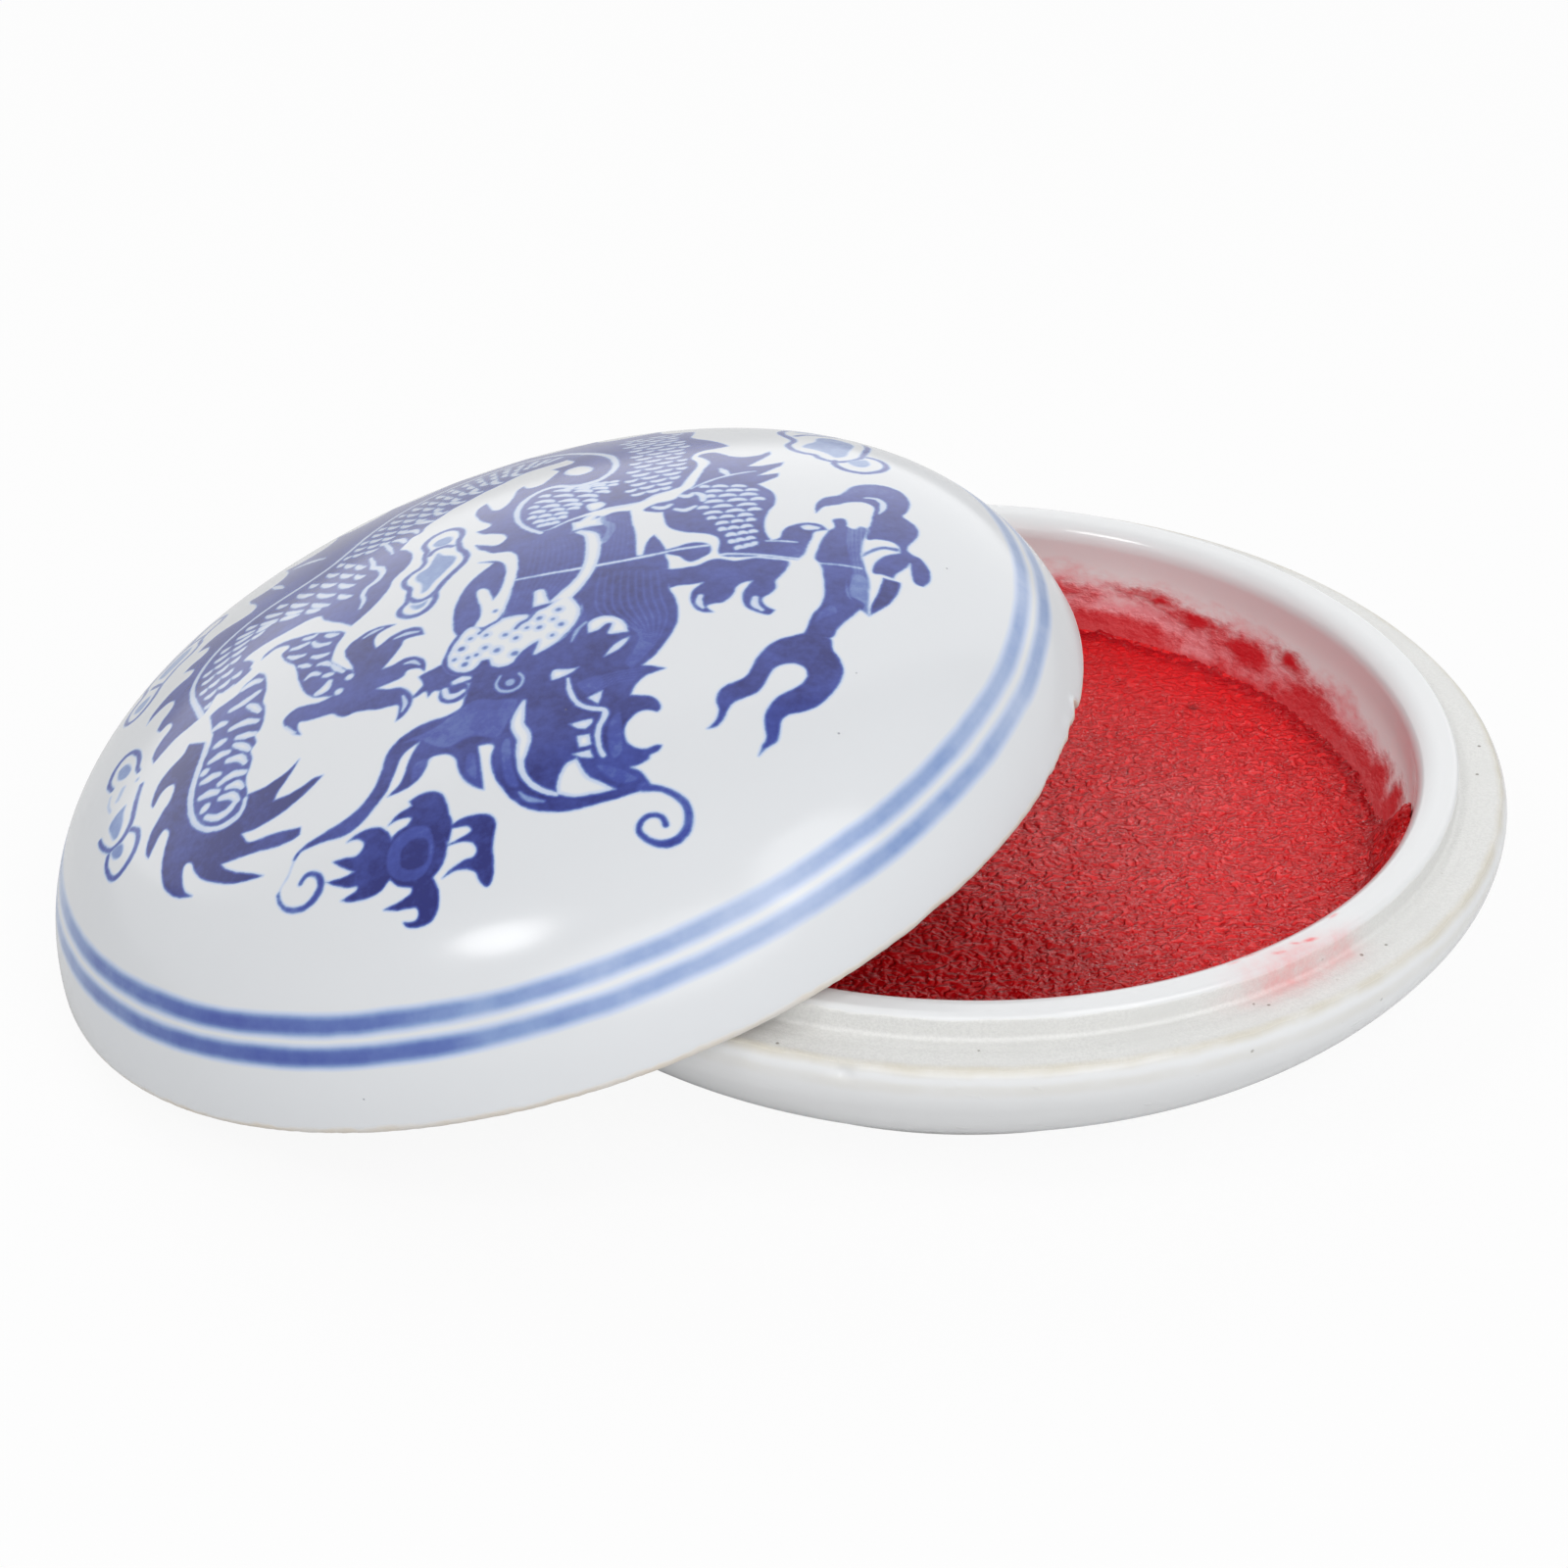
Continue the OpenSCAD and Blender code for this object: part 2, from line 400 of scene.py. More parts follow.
def baseSizes(s):
    out = {}
    edge = s["edgeRadius"] * unit(s["edgeTurn"])
    out["edgeCentre"] = np.array([s["width"] / 2 - s["edgeRadius"], s["ledgeHeight"] - edge[1]])
    out["ledgeRadius"] = out["edgeCentre"][0] + edge[0]
    out["shoulderCentre"] = np.array([s["width"] / 2 - s["shoulderRadius"], out["edgeCentre"][1]])
    out["shoulderEnd"] = out["shoulderCentre"] + s["shoulderRadius"] * unit(s["shoulderTurn"])
    out["bellyEnd"] = np.array([s["footWidth"] / 2 + s["footFlare"], s["footHeight"]])
    along = out["bellyEnd"] - out["shoulderEnd"]
    out["bellyRadius"] = -(along @ along) / (2 * (along @ unit(s["shoulderTurn"])))
    out["bellyCentre"] = out["shoulderEnd"] - out["bellyRadius"] * unit(s["shoulderTurn"])
    out["lipRadius"] = out["ledgeRadius"] - s["ledgeWidth"]
    out["wallRadius"] = out["lipRadius"] - s["lipWidth"]
    out["floor"] = s["footHeight"] + s["floorThick"]
    out["lipTop"] = s["ledgeHeight"] + s["lipHeight"]
    return out


def baseOutline(s, z):
    wall, top, lip = z["wallRadius"], z["lipTop"], z["lipRadius"]
    inner, outer, corner = s["lipInnerRound"], s["lipOuterRound"], s["ledgeCorner"]
    foot, thick, soft = s["footWidth"] / 2, s["footThick"], s["footRound"]
    belly = math.degrees(math.atan2(*(z["bellyEnd"] - z["bellyCentre"])[::-1]))
    fine = 0.14
    return joined(
        straight((0, z["floor"]), (wall - s["wellRadius"], z["floor"]), 1.5),
        arc((wall - s["wellRadius"], z["floor"] + s["wellRadius"]), s["wellRadius"], -90, 0, 0.4),
        straight((wall, z["floor"] + s["wellRadius"]), (wall, top - inner), 0.3),
        arc((wall + inner, top - inner), inner, 180, 90, fine),
        straight((wall + inner, top), (lip - outer, top), fine),
        arc((lip - outer, top - outer), outer, 90, 0, fine / 2),
        straight((lip, top - outer), (lip, s["ledgeHeight"] + corner), fine),
        arc((lip + corner, s["ledgeHeight"] + corner), corner, 180, 270, fine / 2),
        straight((lip + corner, s["ledgeHeight"]), (z["ledgeRadius"] - 0.15, s["ledgeHeight"]), fine),
        arc(z["edgeCentre"], s["edgeRadius"], s["edgeTurn"] - 4, 0, fine),
        arc(z["shoulderCentre"], s["shoulderRadius"], 0, s["shoulderTurn"], 0.25),
        arc(z["bellyCentre"], z["bellyRadius"], s["shoulderTurn"], belly, 0.4),
        straight(z["bellyEnd"], (foot + 0.05, soft), 0.3),
        arc((foot - soft, soft), soft, 0, -90, fine / 2),
        straight((foot - soft, 0), (foot - thick + soft, 0), 0.3),
        arc((foot - thick + soft, soft), soft, -90, -180, fine / 2),
        straight((foot - thick, soft), (foot - thick - s["footFlare"], s["footHeight"]), 0.3),
        straight((foot - thick - s["footFlare"], s["footHeight"]), (0, s["footHeight"]), 1.2))


def courseAt(outline, radius, height):
    # how far along an outline the point nearest to a place is
    return travelled(outline)[np.argmin(np.hypot(outline[:, 0] - radius, outline[:, 1] - height))]


def makeBase(s):
    z = baseSizes(s)
    outline = baseOutline(s, z)
    buried = (outline[:, 0] < z["wallRadius"] - 3) & (outline[:, 1] < z["floor"] + 1)
    body = turned(outline, np.where(buried, 1.2, 0.36))
    course = body["course"]
    degrees = np.degrees(body["angle"])
    zones = {
        "wallTop": courseAt(outline, z["wallRadius"], z["lipTop"] - s["lipInnerRound"]),
        "bareStart": courseAt(outline, z["lipRadius"], z["lipTop"] - 0.5 * s["lipOuterRound"]),
        "bareEnd": courseAt(outline, z["ledgeRadius"], s["ledgeHeight"]),
        "footStart": courseAt(outline, s["footWidth"] / 2, 0.3),
        "footEnd": courseAt(outline, s["footWidth"] / 2 - s["footThick"], 0.3),
    }
    full = course.max()
    x = body["radius"] * np.cos(body["angle"])
    y = body["radius"] * np.sin(body["angle"])
    height = body["height"]

    # red film left on the wall above the paste: 1 at the paste and 0 where it ends, higher at some angles
    onWall = (body["radius"] > z["wallRadius"] - 3) & (course < zones["wallTop"] + 1.2)
    reach = np.interp(wrapped(degrees), *np.array(s["filmReach"]).T) + 0.5 * noise(degrees, height, 7, 11, 3)
    film = onWall * np.clip((reach + 0.5 - height) / (reach + 0.5 - s["filmFoot"]), 0, 1)
    lump = np.zeros(len(course))
    for at, level, wide, tall, strength in s["filmLumps"]:
        away = ((apart(degrees, at) / wide) ** 2 + ((height - level) / tall) ** 2)
        lump = np.maximum(lump, onWall * strength * np.exp(-away))

    # a pink smear wiped over the lip and the ledge, and a few red touches of the spatula
    smear = np.zeros(len(course))
    top = (course > zones["wallTop"] - 1) & (course < zones["bareEnd"] + 1.5)
    for centreX, centreY, angle, long, wide, strength in s["smears"]:
        turn = math.radians(angle)
        along = (x - centreX) * math.cos(turn) + (y - centreY) * math.sin(turn)
        across = (y - centreY) * math.cos(turn) - (x - centreX) * math.sin(turn)
        smear = np.maximum(smear, top * strength * np.exp(-(along / long) ** 2 - (across / wide) ** 2))
    points = placed(body)
    # thrown rings on the ledge, and the nick in the glaze below it
    thrown = smoothstep(zones["bareStart"], zones["bareStart"] + 0.6, course) * smoothstep(
        zones["bareEnd"], zones["bareEnd"] - 0.5, course)
    sunk, tall, spacing = s["thrown"]
    points[:, 2] -= thrown * (sunk + tall * noise(course, 0 * course + 3, spacing, 17, 2))
    at, level, wide, tall, deep = s["nick"]
    nick = np.exp(-(apart(degrees, at) / wide) ** 2 - ((height - level) / tall) ** 2)
    nick = nick * (body["radius"] > 44)  # on the outside only
    points[:, :2] *= (1 - deep * nick)[:, None]
    chart = discChart(body, zones["bareEnd"] + 1.8, full, (0.292, 0.292, 0.285), (0.708, 0.708, 0.285))
    piece = meshPiece("bowl", points, body["triangles"], {
        "course": course,
        "film": film,
        "lump": lump,
        "smear": smear,
    }, chart)
    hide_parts("base_bowl")
    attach(piece, "base")
    piece.data.materials.append(baseFinish(s, zones))
    return piece


def baseFinish(s, zones):
    f = Finish("base glaze")
    course = f.layer("course")
    film = f.layer("film")
    lump = f.layer("lump")
    smear = f.layer("smear")
    wander = f.grain(2.5, 3) - 0.5
    edge = course + wander * 0.5
    bare = edge.ease(zones["bareStart"] - 0.12, zones["bareStart"] + 0.12) * edge.ease(
        zones["bareEnd"] + 0.3, zones["bareEnd"] + 0.05)
    foot = edge.ease(zones["footStart"] - 0.2, zones["footStart"]) * edge.ease(
        zones["footEnd"] + 0.3, zones["footEnd"] + 0.1)
    bare = bare.top(foot)
    # painted light: down the inner wall the glaze turns brighter and cyan-tinted, lifting its shade and the
    # red light from the paste
    glaze = f.mix(course.ease(zones["wallTop"] + 1, zones["wallTop"] - 3), s["glaze"], s["inside"])
    glaze = f.mix(f.grain(14, 2) * 0.3, glaze, dimmed(s["glaze"], 0.9))
    sand = f.grain(0.22, 3, 0.7)
    dry = f.mix(sand.ease(0.35, 0.7), s["bare"], dimmed(s["bare"], 0.9))
    dry = f.mix(f.grain(7, 3).ease(0.4, 0.75), dry, dimmed(s["bare"], 0.94))
    colour = f.mix(bare, glaze, dry)
    # beige edge where the glaze stops, with a fainter line under it, and pinholes
    stop = edge - zones["bareEnd"]
    line = stop.ease(-0.6, 0.1) * stop.ease(0.9, 0.2)
    under = stop.ease(1.0, 1.5) * stop.ease(2.6, 1.8) * 0.35
    colour = f.mix(line.top(under) * f.grain(4, 3).ease(0.25, 0.65, 0.2, 0.6), colour, s["beige"])
    cell = f.cells(1.7)
    chance = f.grain(2.4, 2).ease(0.49, 0.56)
    hole = cell.ease(0.11, 0.05) * chance * (bare.top(under * 2) * stop.ease(-9.0, -8.0))
    colour = f.mix(hole * 0.75, colour, s["pinhole"])
    # red film and lumps on the wall, drawn out along it, and smears on the lip
    drag = f.grain(1.2, 4, 0.62, f.stretch((0.6, 0.6, 1.25)))
    cloud = f.grain(3.2, 3, 0.6)
    streak = drag * 0.55 + cloud * 0.45
    thin = (film * 1.35 + (streak - 0.5) * 1.5).ease(-0.05, 0.85)
    thick = (film ** 3 * 1.1 + lump * 0.85 + (streak - 0.5) * 1.7).ease(0.15, 1.0)
    colour = f.mix(thin * film.ease(0.0, 0.12) * 0.85, colour, s["pasteThin"])
    colour = f.mix(thick * (film + lump).ease(0.02, 0.2), colour, s["pasteThick"])
    wiped = (smear + (f.grain(1.4, 4, 0.6) - 0.5) * smear * 1.6).ease(0.0, 1.0)
    colour = f.mix(wiped, colour, s["wiped"])
    rough = bare * 0.45 + thin * 0.12 + thick * 0.2 + 0.1
    ripple = f.bump(f.grain(3.5, 2), 0.02)
    grit = f.bump(sand * bare - hole, 0.05, ripple)
    daub = f.bump(streak * thick, 0.35, grit)
    return f.surface(Base_Color=colour, Roughness=rough, Normal=daub, IOR=1.5)


bowl = makeBase(base)


# Seal paste

paste = {
    "height": 8.5,
    "dish": 0.5,
    "edgeCurve": 8.0,
    "gap": 0.1,
    "ridgeRise": 5.0,
    "ridgeSpan": 46.0,
    "ridgeMiddle": -25.0,
    "ridgeFoot": 3.4,
    "ridgeTop": 0.7,
    "pitch": 0.2,
    "swell": 0.10,
    "foldHeight": 0.17,
    "grit": 0.05,
    "lumpHeight": 0.35,
    "ridgeGrain": 0.6,
    "pit": (22.6, 18.3, 0.35),  # centre, and both its radius and its depth
    # painted shade: the near-black inside the pit
    "pitShade": (0.05, 0.002, 0.004),
    # where the painted sheen lies on the paste
    "sheen": (12, 1, 17, 15, 0.7),  # centre, spread along x and y, strength
    "wrinkleDepth": 0.17,
    "grainDepth": 0.015,
    # painted shade: the darker red laid over the front left
    "deep": (0.50, 0.0, 0.002),
    "bright": (0.82, 0.008, 0.012),
    # painted shade: the dark red of the creases and the valleys of the folds
    "shadedCrease": (0.30, 0.0, 0.003),
    # painted shade: the dark red of the band along the wall
    "edge": (0.34, 0.001, 0.008),
    # painted sheen: a pale reflection painted into the red
    "paintedSheen": (0.80, 0.075, 0.08),
}


def makePaste(s):
    z = baseSizes(base)
    outer = z["wallRadius"] - s["gap"]
    dishEnd = outer - math.sqrt(s["dish"] * (2 * s["edgeCurve"] - s["dish"]))
    wellCentre = (z["wallRadius"] - base["wellRadius"], z["floor"] + base["wellRadius"])
    top = straight((0, s["height"] - s["dish"]), (outer - 0.12, s["height"]), s["pitch"])
    wellTurn = math.degrees(math.asin((s["height"] - 0.4 - wellCentre[1]) / (base["wellRadius"] - s["gap"])))
    side = arc(wellCentre, base["wellRadius"] - s["gap"], wellTurn, -90, 0.8)
    under = z["floor"] + s["gap"]
    outline = joined(top, side, straight((wellCentre[0], under), (0, under), 1.5))
    flatPitch = np.where(np.arange(len(outline)) < len(top), s["pitch"], 1.2)
    body = turned(outline, flatPitch)
    onTop = body["course"] <= travelled(outline)[len(top) - 1] + 0.01
    radius = body["radius"]
    degrees = np.degrees(body["angle"])
    x = radius * np.cos(body["angle"])
    y = radius * np.sin(body["angle"])
    level = s["height"] - s["dish"] + s["edgeCurve"] - np.sqrt(
        s["edgeCurve"] ** 2 - np.clip(radius - dishEnd, 0, None) ** 2)
    # the ridge that a spatula has pushed up the wall
    near = smoothstep(s["ridgeSpan"] / 2 + 2, s["ridgeSpan"] / 2 - 12, apart(degrees, s["ridgeMiddle"]))
    climb = np.clip((radius - (outer - s["ridgeFoot"])) / (s["ridgeFoot"] - s["ridgeTop"]), 0, 1)
    ragged = 1 + 0.16 * noise(degrees, radius, 2.0, 5, 3)
    level = level + s["ridgeRise"] * near * climb ** 1.3 * ragged
    # pressed and pulled surface, lumpier where it climbs at the back and on the right
    swell = s["swell"] * noise(x, y, 11, 21, 2)
    bent = 0.35 * noise(x, y, 2.6, 41, 1)
    folds = 1 - np.abs(noise(x * 0.95 + bent, y * 1.15 - bent, 1.05, 31, 2))
    smoother = 1 - 0.55 * smoothstep(6, 26, y)
    wrinkle = (s["foldHeight"] * (folds ** 2 - 0.4) + s["grit"] * noise(x, y, 0.5, 35, 1)) * smoother
    turn = wrapped(degrees)
    climbing = smoothstep(outer - 5.5, outer - 0.8, radius)
    climbing = climbing * smoothstep(-75, -25, turn) * smoothstep(130, 95, turn)
    lumps = climbing * (s["lumpHeight"] * np.abs(noise(x, y, 1.5, 51, 3)) - 0.05)
    level = level + (swell + wrinkle) * smoothstep(outer - 0.2, outer - 2.5, radius)
    level = level + lumps * smoothstep(outer - 0.05, outer - 0.6, radius)
    level = level + near * climb * s["ridgeGrain"] * noise(x, y, 1.2, 71, 3)
    pitX, pitY, pitSize = s["pit"]
    pit = (x - pitX) ** 2 + (y - pitY) ** 2
    level = level - pitSize * np.exp(-pit / pitSize ** 2)
    height = np.where(onTop, level, body["height"])
    body["height"] = np.minimum(height, s["height"] + s["ridgeRise"])
    full = body["course"].max()
    split = travelled(outline)[len(top) - 1] + 0.5
    chart = discChart(body, split, full, (0.41, 0.41, 0.405), (0.91, 0.91, 0.085))
    # painted shade makes the front left a deeper red, a painted sheen lies beside it, and a grainy band of
    # painted shade runs along the wall
    sheenX, sheenY, wide, deep, strength = s["sheen"]
    front = smoothstep(14, -22, 0.55 * x + y + 6) * smoothstep(34, 8, x)
    piece = meshPiece("pasteCake", placed(body), body["triangles"], {
        "front": front,
        "sheen": strength * np.exp(-((x - sheenX) / wide) ** 2 - ((y - sheenY) / deep) ** 2),
        "brink": climbing * onTop * (1 - 0.8 * near * climb),
        "pit": np.exp(-pit / 0.5 ** 2),
        "fold": np.clip(wrinkle * 8 + 0.5, 0, 1),
        "lively": smoother,
    }, chart)
    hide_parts("seal_paste")
    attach(piece, "base")
    piece.data.materials.append(pasteFinish(s))
    return piece


def pasteFinish(s):
    f = Finish("red paste")
    front = f.layer("front")
    brink = f.layer("brink")
    cloud = f.grain(9, 3)
    grainy = f.grain(0.9, 1, 0.5, f.stretch((0.95, 1.1, 1.0)))
    shadedCrease = abs(grainy - 0.5).ease(0.0, 0.16)
    fine = f.grain(0.22, 3, 0.65)
    # painted shade: the red turns deeper towards the front left
    colour = f.mix((front + (cloud - 0.5) * 0.7).ease(0.15, 0.85), s["bright"], s["deep"])
    # painted sheen: a pale reflection painted into the middle of the paste
    colour = f.mix(f.layer("sheen") * cloud.ease(0.3, 0.7, 0.5, 1.0), colour, s["paintedSheen"])
    # painted shade: a grainy dark band where the paste climbs the wall
    colour = f.mix((brink + (grainy - 0.5) * 1.1).ease(0.12, 0.7) * 0.65, colour, s["edge"])
    # painted shade darkens the creases and the valleys of the folds
    colour = f.mix(shadedCrease.ease(0.9, 0.1) * 0.3, colour, s["shadedCrease"])
    colour = f.mix(f.layer("fold").ease(0.5, 0.1) * 0.3, colour, s["shadedCrease"])
    # painted shade in the pit
    colour = f.mix(f.layer("pit") * 0.8, colour, s["pitShade"])
    first = f.bump((shadedCrease + grainy) * f.layer("lively"), s["wrinkleDepth"])
    second = f.bump(fine, s["grainDepth"], first)
    glint = f.grain(0.16, 2, 0.6).ease(0.58, 0.64)  # wet grains that catch the light
    rough = (cloud + fine).ease(0.7, 1.3, 0.38, 0.26)
    return f.surface(
        Base_Color=colour, Roughness=rough, Normal=second, IOR=1.45, Specular_IOR_Level=0.2,
        Coat_Weight=glint, Coat_Roughness=0.16, Coat_IOR=1.6)


cake = makePaste(paste)


# Cobalt painting of the dome, laid out flat: u points up the slope of the lid, v to the back, and the
# distance from the middle is the way over the dome, in millimetres

def traced(text, closed):
    # A drawn line through points written "u v, u v". It runs smoothly, but turns sharply at a point with a *.
    marks = [mark.split() for mark in text.split(",")]
    sharp = [len(mark) > 2 for mark in marks]
    points = np.array([[float(mark[0]), float(mark[1])] for mark in marks])
    count = len(points)
    t = np.linspace(0, 1, 6)[:-1, None]
    line = []
    for i in range(count if closed else count - 1):
        b = points[i]
        c = points[(i + 1) % count]
        a = b if sharp[i] or (i == 0 and not closed) else points[i - 1]
        d = c if sharp[(i + 1) % count] or (i == count - 2 and not closed) else points[(i + 2) % count]
        line.append(0.5 * (2 * b + (c - a) * t + (2 * a - 5 * b + 4 * c - d) * t ** 2
                           + (3 * b - a - 3 * c + d) * t ** 3))
    line.append(points[:1] if closed else points[-1:])
    return np.concatenate(line)


class Sheet:  # the flat painting: how deep in the paint each place lies, and how strong the cobalt is
    def __init__(self, half, pitch):
        self.half = half
        self.pitch = pitch
        self.fade = 0.45  # how far from an edge the depth is still measured
        self.axis = np.arange(-half, half + pitch / 2, pitch)
        self.ink = np.full((len(self.axis), len(self.axis)), -self.fade)
        self.wash = np.zeros(self.ink.shape)

    def window(self, low, high):
        start = np.clip(((low - self.fade + self.half) / self.pitch).astype(int), 0, len(self.axis) - 1)
        stop = np.clip(((high + self.fade + self.half) / self.pitch).astype(int) + 2, 1, len(self.axis))
        return slice(start[1], stop[1]), slice(start[0], stop[0])

    def near(self, points, widths):
        rows, columns = self.window(points.min(axis=0) - widths.max(), points.max(axis=0) + widths.max())
        depth = np.full((rows.stop - rows.start, columns.stop - columns.start), -self.fade)
        for a, b, start, end in zip(points[:-1], points[1:], widths[:-1], widths[1:]):
            wide = max(start, end) / 2
            across, along = self.window(np.minimum(a, b) - wide, np.maximum(a, b) + wide)
            x = self.axis[along] - a[0]
            y = self.axis[across][:, None] - a[1]
            step = b - a
            t = np.clip((x * step[0] + y * step[1]) / (step @ step + 1e-9), 0, 1)
            here = (start + (end - start) * t) / 2 - np.hypot(x - t * step[0], y - t * step[1])
            spot = (slice(across.start - rows.start, across.stop - rows.start),
                    slice(along.start - columns.start, along.stop - columns.start))
            depth[spot] = np.maximum(depth[spot], here)
        return rows, columns, depth

    def line(self, text, *widths):
        points = traced(text, False)
        along = travelled(points)
        return self.near(points, np.interp(along / along[-1], np.linspace(0, 1, len(widths)), widths))

    def area(self, text):
        points = traced(text, True)
        rows, columns, depth = self.near(points, np.zeros(len(points)))
        x = self.axis[columns]
        y = self.axis[rows][:, None]
        inside = np.zeros(depth.shape, bool)
        for (ax, ay), (bx, by) in zip(points[:-1], points[1:]):
            if ay != by:
                inside ^= ((ay > y) != (by > y)) & (x < (bx - ax) * (y - ay) / (by - ay) + ax)
        return rows, columns, np.where(inside, -depth, depth)

    def spot(self, u, v, radius):
        return self.near(np.array([[u, v], [u + 0.01, v]]), np.full(2, 2 * radius))

    def lay(self, patch, tone=0.9):
        rows, columns, depth = patch
        self.wash[rows, columns] += (tone - self.wash[rows, columns]) * smoothstep(-0.25, -0.05, depth)
        self.ink[rows, columns] = np.maximum(self.ink[rows, columns], depth)

    def tint(self, patch, tone):
        # changes the strength of the cobalt that is there, and lays none
        rows, columns, depth = patch
        self.wash[rows, columns] += (tone - self.wash[rows, columns]) * smoothstep(-0.1, 0.12, depth)

    def lift(self, patch):
        rows, columns, depth = patch
        self.ink[rows, columns] = np.minimum(self.ink[rows, columns], -depth)

    def fill(self, text, tone=0.9):
        self.lay(self.area(text), tone)

    def stroke(self, text, *widths, tone=0.9):
        self.lay(self.line(text, *widths), tone)

    def bare(self, text):
        self.lift(self.area(text))

    def scratch(self, text, *widths):
        self.lift(self.line(text, *widths))

    def shade(self, text, tone):
        self.tint(self.area(text), tone)

    def trace(self, text, *widths, tone):
        self.tint(self.line(text, *widths), tone)

    def read(self, layer, u, v):
        # the value of a layer at any places, between its own points
        x = np.clip((u + self.half) / self.pitch, 0, len(self.axis) - 1.001)
        y = np.clip((v + self.half) / self.pitch, 0, len(self.axis) - 1.001)
        i = x.astype(int)
        j = y.astype(int)
        a = x - i
        b = y - j
        return ((layer[j, i] * (1 - a) + layer[j, i + 1] * a) * (1 - b)
                + (layer[j + 1, i] * (1 - a) + layer[j + 1, i + 1] * a) * b)


def evenly(text, count):
    points = traced(text, False)
    along = travelled(points) / travelled(points)[-1]
    at = np.linspace(0, 1, count)
    return np.column_stack([np.interp(at, along, points[:, 0]), np.interp(at, along, points[:, 1])])


def scaleRows(sheet, spine, belly, rows, across, bow=0.45, width=0.62, start=0.06, end=0.94):
    # crescents of bare glaze in staggered rows, between the line of the back and the line of the belly
    first = evenly(spine, rows)
    second = evenly(belly, rows)
    for row in range(rows):
        step = (first[min(row + 1, rows - 1)] - first[max(row - 1, 0)]
                + second[min(row + 1, rows - 1)] - second[max(row - 1, 0)])
        step = step / (np.hypot(*step) + 1e-9)
        for column in range(across + 1):
            low = np.clip((column - 0.36 - 0.5 * (row % 2)) / across + start, start, end)
            high = np.clip((column + 0.36 - 0.5 * (row % 2)) / across + start, start, end)
            if high - low < 0.3 / across:
                continue
            a = first[row] + (second[row] - first[row]) * low
            b = first[row] + (second[row] - first[row]) * high
            middle = (a + b) / 2 - step * bow
            t = np.linspace(0, 1, 6)[:, None]
            points = a * (1 - t) ** 2 + 2 * middle * t * (1 - t) + b * t ** 2
            sheet.lift(sheet.near(points, width * np.array([0.5, 0.9, 1, 1, 0.9, 0.5])))


def comb(sheet, first, second, count, width, tone):
    # fine hairs between two drawn lines
    stops = 24
    a = evenly(first, stops)
    b = evenly(second, stops)
    widths = width * np.interp(np.arange(stops), [0, 8, 23], [0.5, 1, 0.4])
    for hair in range(count):
        share = (hair + 0.5) / count
        sheet.tint(sheet.near(a + (b - a) * share, widths), tone)


